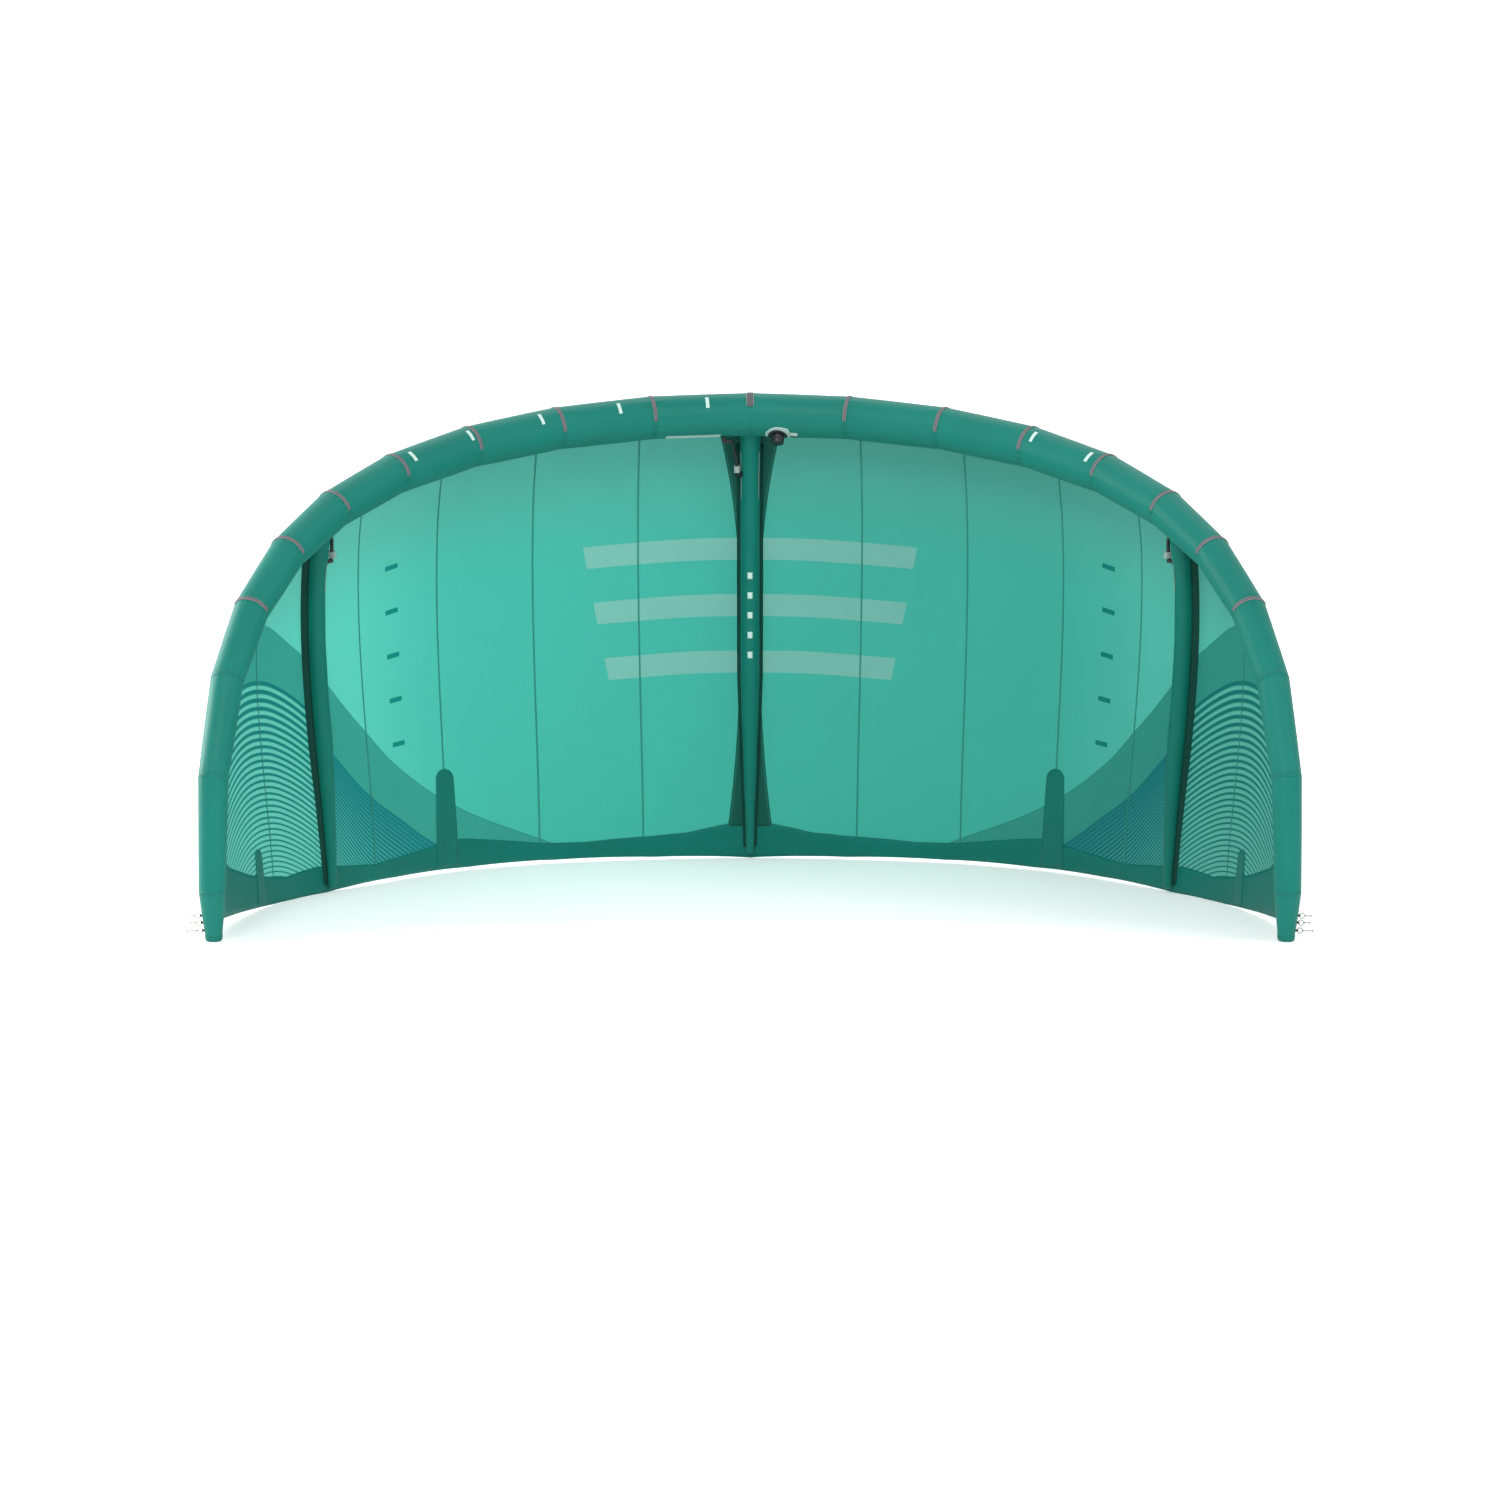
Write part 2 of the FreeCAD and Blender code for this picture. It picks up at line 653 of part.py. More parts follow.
def make_clip():
    """Pinch clip about the hose: x along the hose, z towards the viewer."""
    half_l, half_w, half_d = clip_length / 2, clip_width / 2, clip_depth / 2
    body = Part.makeBox(clip_length, clip_width, clip_depth, V(-half_l, -half_w, -half_d))
    body = body.makeFillet(clip_corner_fillet, [e for e in body.Edges if abs(e.tangentAt(e.FirstParameter).z) > 0.9])
    ear_length, ear_width, ear_height = clip_ear
    pin_x = -half_l + clip_ear_radius
    pin_z = half_d + clip_ear_radius
    for low in (-half_w, half_w - ear_width):
        ear = Part.makeBox(ear_length, ear_width, ear_height, V(-half_l, low, half_d - 1))
        ear = ear.fuse(Part.makeCylinder(clip_ear_radius, ear_width, V(pin_x, low, pin_z), V(0, 1, 0)))
        body = body.fuse(ear)
    body = body.cut(Part.makeCylinder(clip_bore, clip_length + 2, V(-half_l - 1, 0, 0), V(1, 0, 0)))
    body = body.cut(Part.makeCylinder(clip_pin_radius + clip_pin_gap, clip_width + 2,
                                      V(pin_x, -half_w - 1, pin_z), V(0, 1, 0))).removeSplitter()
    arm = clip_width - 2 * (ear_width + lever_gap)
    lever = Part.makeBox(clip_length - 2, arm, lever_thickness, V(pin_x, -arm / 2, half_d + lever_gap))
    lever = lever.fuse(Part.makeCylinder(lever_barrel_radius, arm, V(pin_x, -arm / 2, pin_z), V(0, 1, 0)))
    lever = lever.fuse(Part.makeCylinder(clip_pin_radius, clip_width, V(pin_x, -half_w, pin_z), V(0, 1, 0)))
    lip_length, lip_height = lever_lip
    lip_start = pin_x + clip_length - 2 - lip_length
    lip = Part.makeBox(lip_length, arm, lip_height, V(lip_start, -arm / 2, half_d + lever_gap))
    lever = lever.fuse(lip).removeSplitter()
    return body, lever, V(pin_x, 0, pin_z)


def make_hose(place, radii, side_sign, reach, elbow_angle):
    """Hose from the tube to a strut, on the tip side (+1) or the centre side (-1) of it."""
    elbow_place = place + side_sign * reach[0] / half_tube_length
    seat, square, along = tube_frame(elbow_place, elbow_angle)
    towards = along * -side_sign
    span = V(outward(place).z, 0, -outward(place).x) * side_sign
    first, start = make_elbow(seat, square, towards)
    u = reach[1] / chord_at(place)
    stations = [s for s in strut_stations if s > u]
    ahead = strut_frame(place, stations[0], radii)[0]
    behind = strut_frame(place, ([-0.03] + strut_stations)[strut_stations.index(stations[0])], radii)[0]
    back = (ahead - behind).normalize()
    up = V(outward(place).z, 0, -outward(place).x).cross(back).normalize()
    target = strut_axis(place, u, radii)
    centre = behind + back * (target - behind).dot(back)
    face = span * math.cos(math.radians(hose_side_angle)) - up * math.sin(math.radians(hose_side_angle))
    second, finish = make_elbow(centre + face * strut_radius(u - 0.01, radii), face, back * -1)
    run = start + towards * hose_straight_run
    before = finish - back * hose_straight_end
    middle = (run + before) * 0.5 - back * hose_bow[0] + span * hose_bow[1]
    points = [start, run, middle, before, finish]
    hose = pipe(points, hose_radius, hose_bore)
    way = (before - finish).normalize()
    clip_centre = finish + way * (barb_length + clip_length / 2 - clip_hose_overlap)
    across = way.cross(outward(place)).normalize()
    up = way.cross(across).normalize()
    if up.dot(outward(place)) > 0:
        across = across * -1
        up = way.cross(across).normalize()
    body, lever, pin = make_clip()
    pin_place = clip_centre + way * pin.x + up * pin.z
    return first, second, hose, placed(body, clip_centre, way, across), \
        placed(lever, clip_centre, way, across), pin_place, across


def make_hoses():
    elbows = []
    hinges = {}
    first, second, hose, body, lever, pin, across = make_hose(0.0, centre_strut_radii, 1, centre_hose_reach,
                                                      centre_elbow_angle)
    elbows += [mirrored(first), mirrored(second)]
    shapes["centre_hose"] = mirrored(hose)
    shapes["centre_clip"] = mirrored(body)
    shapes["centre_clip_lever"] = mirrored(lever)
    hinges["centre_clip_lever"] = (V(-pin.x, pin.y, pin.z), V(-across.x, across.y, across.z) * -1)
    place = seam_places[strut_seam]
    first, second, hose, body, lever, pin, across = make_hose(place, side_strut_radii, -1, side_hose_reach,
                                                      side_elbow_angle)
    elbows += [first, second, mirrored(first), mirrored(second)]
    both_sides("side_hose", hose)
    both_sides("side_clip", body)
    both_sides("side_clip_lever", lever)
    hinges["side_clip_lever_right"] = (pin, across)
    hinges["side_clip_lever_left"] = (V(-pin.x, pin.y, pin.z), V(-across.x, across.y, across.z) * -1)
    shapes["hose_elbows"] = group(elbows)
    return hinges


# ---------------------------------------------------------------- wingtip pigtails
def make_pigtails():
    tabs = []
    hinges = {}
    for number, (height, stub) in enumerate(zip(pigtail_heights, pigtail_stubs), 1):
        seat, square, along = tube_frame(1 - height / half_tube_length, 90.0)
        across = along.cross(square)
        tab = Part.makeBox(tab_height, tab_width, tab_width, V(trim_gap, -tab_width / 2, -tab_width / 2))
        tab = tab.makeFillet(1.5, [e for e in tab.Edges if e.CenterOfMass.x > tab_height + trim_gap - 0.1])
        eye = V(tab_height / 2 + trim_gap + 0.6, 0, 0)
        tab = tab.cut(Part.makeCylinder(tab_hole_radius, 20, V(eye.x, -10, 0), V(0, 1, 0)))
        tabs.append(placed(tab, seat, square, along))
        centre = V(eye.x + pigtail_ring_radius, 0, 0)
        ring = Part.makeTorus(pigtail_ring_radius, pigtail_line_radius, centre, V(0, 0, 1))
        neck = eye.x + 2 * pigtail_ring_radius
        line = Part.makeCylinder(pigtail_line_radius, stub, V(neck, 0, 0), V(1, 0, 0))
        knots = Part.makeSphere(knot_radius, V(neck + stub - 1, 0, 0))
        collar = Part.makeSphere(knot_radius, V(neck + 1, 0, 0))
        pigtail = ring.fuse(line).fuse(knots).fuse(collar).removeSplitter()
        both_sides("pigtail_%d" % number, placed(pigtail, seat, square, along))
        hinge = seat + square * eye.x
        hinges["pigtail_%d_right" % number] = (hinge, along)
        hinges["pigtail_%d_left" % number] = (V(-hinge.x, hinge.y, hinge.z), V(-along.x, along.y, along.z) * -1)
    both_sides("pigtail_tabs", group(tabs))
    return hinges


# ---------------------------------------------------------------- assembly
valve_hole, cap_hinge, flap_hinge = make_valve()
make_leading_edge(valve_hole)
make_canopy()
make_struts()
joints = make_hoses()
joints.update(make_pigtails())
valve_surface, valve_square, valve_along, _ = valve_frame()
joints["valve_collar"] = (valve_surface, valve_square)
joints["valve_cap"] = (cap_hinge, valve_along)
joints["valve_flap"] = (flap_hinge, valve_along)

stand = FreeCAD.Placement(V(0, 0, floor_depth), FreeCAD.Rotation(V(1, 0, 0), stand_lean - 90))


def standing(shape):
    copy = shape.copy()
    copy.Placement = stand.multiply(copy.Placement)
    return copy


corners = []
for name, shape in shapes.items():
    if not name.startswith("pigtail"):
        corners += standing(shape).tessellate(1.0)[0]
middle_y = (min(c.y for c in corners) + max(c.y for c in corners)) / 2.0
lowest = min(c.z for c in corners)
stand = FreeCAD.Placement(V(0, -middle_y, -lowest), FreeCAD.Rotation()).multiply(stand)

os.makedirs("parts", exist_ok=True)
for name, shape in sorted(shapes.items()):
    standing(shape).exportStep("parts/%s.step" % name)
print(len(shapes), "nodes, centre chord", round(chord_at(0.0), 1))
print("shift back", round(middle_y, 3), "lowest", round(lowest, 3), "floor depth", round(floor_depth, 3))
for name, (point, way) in sorted(joints.items()):
    place = stand.multVec(point)
    turned = stand.Rotation.multVec(way)
    print(name, [round(v, 5) for v in (place.x, place.y, place.z)], [round(v, 6) for v in turned])
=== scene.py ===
# %% [markdown]
# # An inflatable kitesurf kite, standing on its trailing edge
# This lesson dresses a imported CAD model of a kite. The kite is a fat inflated tube,
# the leading edge, bent into a deep arc, with a light canopy hung behind it and three
# inflated struts that keep the canopy's shape. Here it stands on its trailing edge and
# wingtips, so the hollow side faces the viewer.
#
# The CAD model gives the frame: every piece below is made in metres, in the same
# coordinates, and then rides on one of the model's bodies.

import math

import bmesh
import bpy
import numpy as np
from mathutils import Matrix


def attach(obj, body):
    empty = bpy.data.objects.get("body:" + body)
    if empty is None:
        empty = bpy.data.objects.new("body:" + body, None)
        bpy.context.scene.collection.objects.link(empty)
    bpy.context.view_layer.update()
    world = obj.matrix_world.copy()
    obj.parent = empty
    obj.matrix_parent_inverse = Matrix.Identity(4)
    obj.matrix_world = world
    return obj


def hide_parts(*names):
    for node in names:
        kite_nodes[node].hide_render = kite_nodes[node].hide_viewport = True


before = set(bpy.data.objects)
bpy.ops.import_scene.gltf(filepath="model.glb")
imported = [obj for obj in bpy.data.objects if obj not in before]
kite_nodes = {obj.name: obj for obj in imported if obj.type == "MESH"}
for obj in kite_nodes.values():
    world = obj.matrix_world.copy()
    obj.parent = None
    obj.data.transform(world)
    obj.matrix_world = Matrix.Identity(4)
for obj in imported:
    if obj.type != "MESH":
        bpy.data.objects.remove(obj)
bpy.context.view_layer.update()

# %% [markdown]
# ## The kite's own shape
# The leading edge's axis is a curve in a flying frame: x along the span, y from the
# leading edge back, z up. It droops and sweeps back towards the tips. Eleven cone-shaped
# cloth panels a side join rings that stand on this curve. Repeating the CAD model's few
# driving numbers here lets every soft piece be laid on the same surfaces.

# %% The tube's axis, rings and panels
HALF_TUBE = 3.550
PANEL_LENGTHS = np.array(
    [0.360, 0.360, 0.355, 0.345, 0.325, 0.300, 0.310, 0.305, 0.350, 0.380, 0.160]
)
TUBE_RADII = np.array([155, 155, 152, 148, 142, 135, 126, 118, 110, 100, 88, 54]) / 2000.0
RING_PLACES = np.concatenate([[0.0], np.cumsum(PANEL_LENGTHS)]) / PANEL_LENGTHS.sum()
AXIS_STEPS = 600


def turn_angles(s):
    droop = math.radians(138.0 * s - 42.0 * s * s)
    sweep = math.radians(88.0 * s**2.95)
    return droop, sweep


def heading(s):
    droop, sweep = turn_angles(s)
    return np.array(
        [math.cos(sweep) * math.cos(droop), math.sin(sweep), -math.cos(sweep) * math.sin(droop)]
    )


def outward(s):
    droop, _ = turn_angles(s)
    return np.array([math.sin(droop), 0.0, math.cos(droop)])


def rearward(s):
    return np.cross(outward(s), heading(s))


axis_steps = [heading((i + 0.5) / AXIS_STEPS) * HALF_TUBE / AXIS_STEPS for i in range(AXIS_STEPS)]
axis_trace = np.concatenate([np.zeros((1, 3)), np.cumsum(axis_steps, axis=0)])


def axis_point(s):
    place = s * AXIS_STEPS
    return np.array(
        [np.interp(place, np.arange(AXIS_STEPS + 1), axis_trace[:, k]) for k in range(3)]
    )


RING_CENTRES = np.array([axis_point(s) for s in RING_PLACES])
RING_BACKS = np.array([rearward(s) for s in RING_PLACES])
RING_OUTS = np.array([outward(s) for s in RING_PLACES])
print("tip of the axis:", RING_CENTRES[-1].round(3))

# %% [markdown]
# A point of the tube's cloth is named by its place s along the tube (0 at the centre, 1
# at the tip) and an angle that starts at the rear and turns over the outside. The
# finished kite is leant over until its trailing edge lies on the floor.

# %% Points on the tube, and the lean that stands the kite up
LEAN = math.radians(15.5)
STAND_BACK, STAND_HEIGHT = 0.596025, 1.688938
HALVES = ((1, "right"), (-1, "left"))


def ring_points(k, angles, lift):
    a = np.radians(angles)[:, None]
    reach = (TUBE_RADII[k] + lift) * np.ones(len(angles))
    return RING_CENTRES[k] + (RING_BACKS[k] * np.cos(a) + RING_OUTS[k] * np.sin(a)) * reach[:, None]


def panel_of(s):
    k = int(np.clip(np.searchsorted(RING_PLACES, s, side="right") - 1, 0, len(PANEL_LENGTHS) - 1))
    return k, (s - RING_PLACES[k]) / (RING_PLACES[k + 1] - RING_PLACES[k])


def tube_points(s, angles, lift=0.0):
    k, share = panel_of(s)
    angles = np.atleast_1d(np.asarray(angles, float))
    return ring_points(k, angles, lift) * (1 - share) + ring_points(k + 1, angles, lift) * share


def tube_frame(s, angle):
    """Surface point, the direction square to the cloth, and the axis direction there."""
    k, share = panel_of(s)
    centre = RING_CENTRES[k] * (1 - share) + RING_CENTRES[k + 1] * share
    surface = tube_points(s, angle)[0]
    along = RING_CENTRES[k + 1] - RING_CENTRES[k]
    along = along / np.linalg.norm(along)
    square = surface - centre
    square = square - along * square.dot(along)
    return surface, square / np.linalg.norm(square), along


def stand(points, side=1):
    """Flying frame to row frame; side -1 mirrors to the left half."""
    x, y, z = np.moveaxis(np.asarray(points, float), -1, 0)
    back = y * math.sin(LEAN) + z * math.cos(LEAN) + STAND_BACK
    up = -y * math.cos(LEAN) + z * math.sin(LEAN) + STAND_HEIGHT
    return np.stack([side * x, back, up], axis=-1)


def stand_way(way, side=1):
    return stand(way, side) - stand(np.zeros(3), side)


# %% [markdown]
# ## The canopy's own shape
# The canopy starts on the tube's rear quarter and runs back to the trailing edge with
# one gentle camber. Between the tube's rings and between its own seams the loaded cloth
# blows out a little, so the surface is a continuous curve and not a row of flat facets.
# The side struts hold it, which leaves a shallow valley along each.

# %% Points on the canopy
SEAM_PLACES = np.array([0.0, 0.110, 0.218, 0.327, 0.433, 0.515, 0.614, 1.0])
EDGE_LIFTS = np.array([60, 65, 100, 95, 50, 40, 45, 30]) / 1000.0
EDGE_RAISES = np.array([0, 8, 10, 8, 8, 0, 0, 45]) / 1000.0
BAND_PLACES = np.array(
    [0.0, 0.020, 0.064, 0.17, 0.22, 0.308, 0.365, 0.435, 0.53, 0.59, 0.67, 0.73, 0.80, 1.0]
)
BAND_HEIGHTS = np.array([140, 138, 97, 66, 72, 118, 88, 64, 106, 91, 128, 172, 300, 400]) / 1000.0
CANOPY_END = 0.975
STRUT_PLACE = 0.515
ATTACH_ANGLE = 50.0
ATTACH_LIFT = 0.0015
CAMBER = 0.027
BILLOW = 0.004
EASE_SHARE = 0.15
HELD_SPAN = 0.035
FLOOR_DEPTH = 1.688671
DOWN = np.array([0.0, math.cos(LEAN), -math.sin(LEAN)])


def front_edge(s):
    return tube_points(s, ATTACH_ANGLE, ATTACH_LIFT)[0]


def tube_radius(s):
    return float(np.interp(s, RING_PLACES, TUBE_RADII))


def trailing_edge(s):
    attach_height = (tube_radius(s) + ATTACH_LIFT) * math.sin(math.radians(ATTACH_ANGLE))
    base = front_edge(s) + outward(s) * (np.interp(s, SEAM_PLACES, EDGE_LIFTS) - attach_height)
    chord = (FLOOR_DEPTH - np.interp(s, SEAM_PLACES, EDGE_RAISES) - base.dot(DOWN)) / math.cos(LEAN)
    return base + np.array([0.0, chord, 0.0])


def chord_at(s):
    return float(np.linalg.norm(trailing_edge(s) - front_edge(s)))


def blown_out(s):
    """How far the cloth stands outside the straight run between two rings."""
    turn = math.radians(ATTACH_ANGLE)
    way = rearward(s) * math.cos(turn) + outward(s) * math.sin(turn)
    smooth = axis_point(s) + way * (tube_radius(s) + ATTACH_LIFT)
    held = 1 - math.exp(-(((s - STRUT_PLACE) / HELD_SPAN) ** 2))
    return max(0.0, float((smooth - front_edge(s)).dot(outward(s)))) * held


def camber_rise(chord, u):
    """One gentle camber, highest a third of the way back."""
    return CAMBER * chord * 6.75 * u * (1 - u) ** 2


def canopy_points(s, shares, off=0.0):
    """Points from the tube (share 0) to the trailing edge (share 1) at place s; off is outward."""
    u = np.atleast_1d(np.asarray(shares, float))
    front, back = front_edge(s), trailing_edge(s)
    chord = float(np.linalg.norm(back - front))
    rise = camber_rise(chord, u)
    ease = np.clip(u / EASE_SHARE, 0, 1)
    rise = rise + blown_out(s) * ease * ease * (3 - 2 * ease)
    panel = int(np.clip(np.searchsorted(SEAM_PLACES, s, side="right") - 1, 0, 6))
    t = (s - SEAM_PLACES[panel]) / (SEAM_PLACES[panel + 1] - SEAM_PLACES[panel])
    rise = rise + BILLOW * math.sin(math.pi * min(t, 1.0)) ** 2 * np.sin(math.pi * np.clip(u, 0, 1))
    return front + (back - front) * u[:, None] + outward(s) * (rise + off)[:, None]


def on_canopy(s, share, off, side):
    """One standing point of the canopy."""
    return stand(canopy_points(s, [share], off)[0], side)


def tip_to_tip(places):
    """(side, place) from the left tip over the centre to the right tip."""
    return [(-1, s) for s in places[:0:-1]] + [(1, s) for s in places]


print("centre chord:", round(chord_at(0.0), 4), "tip chord:", round(chord_at(CANOPY_END), 4))

# %% [markdown]
# ## Camera, floor and light
# The camera stands about fifteen metres in front with a long lens, nearly level. The kite
# has no electric cords; its only free lines are six short pigtails at the wingtips, and
# they come right after the camera and the helpers. Floor and lamps follow them.

# %% The camera
camera_lens = bpy.data.cameras.new("studio_camera")
camera_lens.lens = 105.7
camera_lens.sensor_width = 36.0
camera_lens.clip_end = 200.0
studio_camera = bpy.data.objects.new("studio_camera", camera_lens)
studio_camera.location = (0.0, -15.43, 2.094)
studio_camera.rotation_euler = (math.radians(90.0 - 5.808), 0.0, 0.0)
bpy.context.scene.collection.objects.link(studio_camera)
bpy.context.scene.camera = studio_camera

# %% Helpers for meshes


def link(name, data, material=None):
    piece = bpy.data.objects.new(name, data)
    bpy.context.scene.collection.objects.link(piece)
    if material is not None:
        data.materials.append(material)
    return piece


def dressed(name, data, finish, slot, *stands_for, body="kite"):
    """A new piece on a body. data is its mesh, or a list of meshes to join."""
    piece = link(name, joined_mesh(name, data) if isinstance(data, list) else data, finish)
    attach(piece, body)
    if stands_for:
        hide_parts(*stands_for)
    return piece


def cloth_grid(rows, columns):
    """A UV value in metres for each point of a grid."""
    spread = np.broadcast_arrays(np.asarray(rows)[:, None], np.asarray(columns)[None, :])
    return np.stack(spread, axis=-1)


def laid(surface, places, spread, lift, side):
    """Rows of points on the tube or the canopy, at a distance from it."""
    return np.array([stand(surface(s, spread, lift), side) for s in places])


def grid_mesh(name, points, maps=None, wrapped=False):
    """A mesh from rows of points. maps holds UV values per point, one column more if wrapped."""
    rows, columns = points.shape[:2]
    spans = columns if wrapped else columns - 1
    i, j = [a.ravel() for a in np.meshgrid(np.arange(rows - 1), np.arange(spans), indexing="ij")]
    after = (j + 1) % columns
    corners = np.stack(
        [i * columns + j, i * columns + after, (i + 1) * columns + after, (i + 1) * columns + j], 1
    )
    mesh = bpy.data.meshes.new(name)
    mesh.from_pydata(points.reshape(-1, 3).tolist(), [], corners.tolist())
    for map_name, values in (maps or {}).items():
        layer = mesh.uv_layers.new(name=map_name)
        around = np.stack(
            [values[i, j], values[i, j + 1], values[i + 1, j + 1], values[i + 1, j]], 1
        )
        layer.uv.foreach_set("vector", around.reshape(-1).astype(np.float32))
    mesh.shade_smooth()
    return mesh


def face_outward(mesh):
    made = bmesh.new()
    made.from_mesh(mesh)
    bmesh.ops.recalc_face_normals(made, faces=made.faces)
    made.to_mesh(mesh)
    made.free()
    return mesh


def shell_mesh(name, under, over, maps=None):
    """A thin closed piece of cloth between two surfaces with the same rows and columns."""
    rows, columns = under.shape[:2]
    ring = [(0, j) for j in range(columns)] + [(i, columns - 1) for i in range(1, rows)]
    ring += [(rows - 1, j) for j in range(columns - 2, -1, -1)]
    ring += [(i, 0) for i in range(rows - 2, 0, -1)]
    points = np.concatenate([under.reshape(-1, 3), over.reshape(-1, 3)])
    count = rows * columns
    i, j = [
        a.ravel() for a in np.meshgrid(np.arange(rows - 1), np.arange(columns - 1), indexing="ij")
    ]
    quad = np.stack(
        [i * columns + j, i * columns + j + 1, (i + 1) * columns + j + 1, (i + 1) * columns + j], 1
    )
    rim = [a * columns + b for a, b in ring]
    rim_quads = [[a, b, b + count, a + count] for a, b in zip(rim, rim[1:] + rim[:1])]
    faces = quad[:, ::-1].tolist() + (quad + count).tolist() + rim_quads
    mesh = bpy.data.meshes.new(name)
    mesh.from_pydata(points.tolist(), [], faces)
    for map_name, values in (maps or {}).items():
        flat = np.concatenate([values.reshape(-1, 2)] * 2).astype(np.float32)
        at = np.array([c for face in faces for c in face])
        layer = mesh.uv_layers.new(name=map_name)
        layer.uv.foreach_set("vector", flat[at].reshape(-1))
    mesh.shade_smooth()
    return face_outward(mesh)


def joined_mesh(name, meshes):
    """One mesh from several that have the same UV maps."""
    made = bmesh.new()
    for mesh in meshes:
        made.from_mesh(mesh)
    whole = bpy.data.meshes.new(name)
    made.to_mesh(whole)
    made.free()
    for mesh in meshes:
        bpy.data.meshes.remove(mesh)
    whole.shade_smooth()
    return whole


def cloth_shell(name, rows):
    """A thin closed piece from rows of (lower point, upper point, place on the cloth)."""
    under, over, cloth = [np.array([[spot[k] for spot in row] for row in rows]) for k in range(3)]
    return shell_mesh(name, under, over, {"cloth": cloth})


def round_line_mesh(name, path, radius, turns=10):
    """A solid round line, such as piping, along a path of row-frame points."""
    path = np.asarray(path, float)
    ways = np.gradient(path, axis=0)
    ways /= np.linalg.norm(ways, axis=1)[:, None]
    side = np.cross(ways[0], [0.3, 0.2, 0.9])
    a = np.linspace(0, 2 * math.pi, turns, endpoint=False)[:, None]
    rows = []
    for point, way in zip(path, ways):
        side = side - way * side.dot(way)
        side /= np.linalg.norm(side)
        rows.append(point + (side * np.cos(a) + np.cross(way, side) * np.sin(a)) * radius)
    rows = [np.repeat(path[:1], turns, axis=0)] + rows + [np.repeat(path[-1:], turns, axis=0)]
    lengths = np.concatenate([[0], np.cumsum(np.linalg.norm(np.diff(path, axis=0), axis=1))])
    lengths = np.concatenate([[0], lengths, lengths[-1:]])
    cloth = cloth_grid(lengths, np.linspace(0, 2 * math.pi * radius, turns + 1))
    return face_outward(grid_mesh(name, np.array(rows), {"cloth": cloth}, wrapped=True))


# %% [markdown]
# ## Shared surface effects
# Kite cloth, webbing and moulded plastic show the same few effects at different scales:
# a ripstop grid with a fine weave, soft creases and uneven shade, rows of stitches, and
# scuffs. Each is one node group with named inputs, placed in every material that needs
# it. A node group keeps the recipe in one place, and the materials only differ in values.

# %% Helpers for nodes


def connect(value, socket):
    """Link a value to a socket, or set the socket's own number or colour."""
    if isinstance(value, bpy.types.NodeSocket):
        socket.id_data.links.new(value, socket)
    else:
        socket.default_value = value


def place(tree, kind, settings=None, **sockets):
    """A new node. Sockets are given by name, or as i0, i1 by number."""
    node = tree.nodes.new(kind)
    for key, value in (settings or {}).items():
        setattr(node, key, value)
    for name, value in sockets.items():
        numbered = name[0] == "i" and name[1:].isdigit()
        connect(value, node.inputs[int(name[1:]) if numbered else name.replace("_", " ")])
    return node


def calc(operation, a, b=0.0):
    """A math node, in the tree that one of its values comes from."""
    tree = next(value.id_data for value in (a, b) if isinstance(value, bpy.types.NodeSocket))
    node = place(tree, "ShaderNodeMath", {"operation": operation})
    connect(a, node.inputs[0])
    connect(b, node.inputs[1])
    return node.outputs[0]


def times(a, b):
    return calc("MULTIPLY", a, b)


def ratio(a, b):
    return calc("DIVIDE", a, b)


def plus(a, b):
    return calc("ADD", a, b)


def minus(a, b):
    return calc("SUBTRACT", a, b)


def soft_step(value, low, high):
    """0 below low, 1 above high, smooth between."""
    node = place(value.id_data, "ShaderNodeMapRange", {"interpolation_type": "SMOOTHSTEP"},
                 Value=value, From_Min=low, From_Max=high)
    return node.outputs["Result"]


def blend_colours(share, first, second):
    node = place(share.id_data, "ShaderNodeMix", {"data_type": "RGBA", "blend_type": "MIX"})
    for number, value in ((0, share), (6, first), (7, second)):
        connect(value, node.inputs[number])
    return node.outputs[2]


def new_group(name, inputs, outputs):
    group = bpy.data.node_groups.new(name, "ShaderNodeTree")
    for label, kind, value in inputs:
        socket = group.interface.new_socket(
            name=label, in_out="INPUT", socket_type="NodeSocket" + kind
        )
        if value is not None:
            socket.default_value = value
    for label, kind in outputs:
        group.interface.new_socket(name=label, in_out="OUTPUT", socket_type="NodeSocket" + kind)
    given = group.nodes.new("NodeGroupInput").outputs
    return group, given, group.nodes.new("NodeGroupOutput").inputs


def give(result, **values):
    """Send values to a group's outputs."""
    for name, value in values.items():
        connect(value, result[name.replace("_", " ")])


# %% Ripstop cloth: a square grid of thicker threads in a fine plain weave
ripstop_group, given, result = new_group(
    "ripstop cloth",
    [
        ("Cloth", "Vector", None), ("Pitch", "Float", 0.008), ("Thread", "Float", 0.12),
        ("Weave", "Float", 0.0011)
    ],
    [("Grid", "Float"), ("Height", "Float")],
)
parts = place(ripstop_group, "ShaderNodeSeparateXYZ", Vector=given["Cloth"])
lines, waves = [], []
for way in ("X", "Y"):
    cell = calc("FRACT", ratio(parts.outputs[way], given["Pitch"]))
    away = calc("ABSOLUTE", minus(cell, 0.5))
    nearness = minus(away, minus(0.5, given["Thread"]))
    lines.append(times(calc("MAXIMUM", nearness, 0.0), 6.0))
    turns = ratio(parts.outputs[way], given["Weave"])
    waves.append(calc("SINE", times(turns, 2 * math.pi)))
grid = calc("MINIMUM", calc("MAXIMUM", *lines), 1.0)
weave = times(*waves)
height = plus(grid, times(weave, 0.35))
give(result, Grid=grid, Height=height)

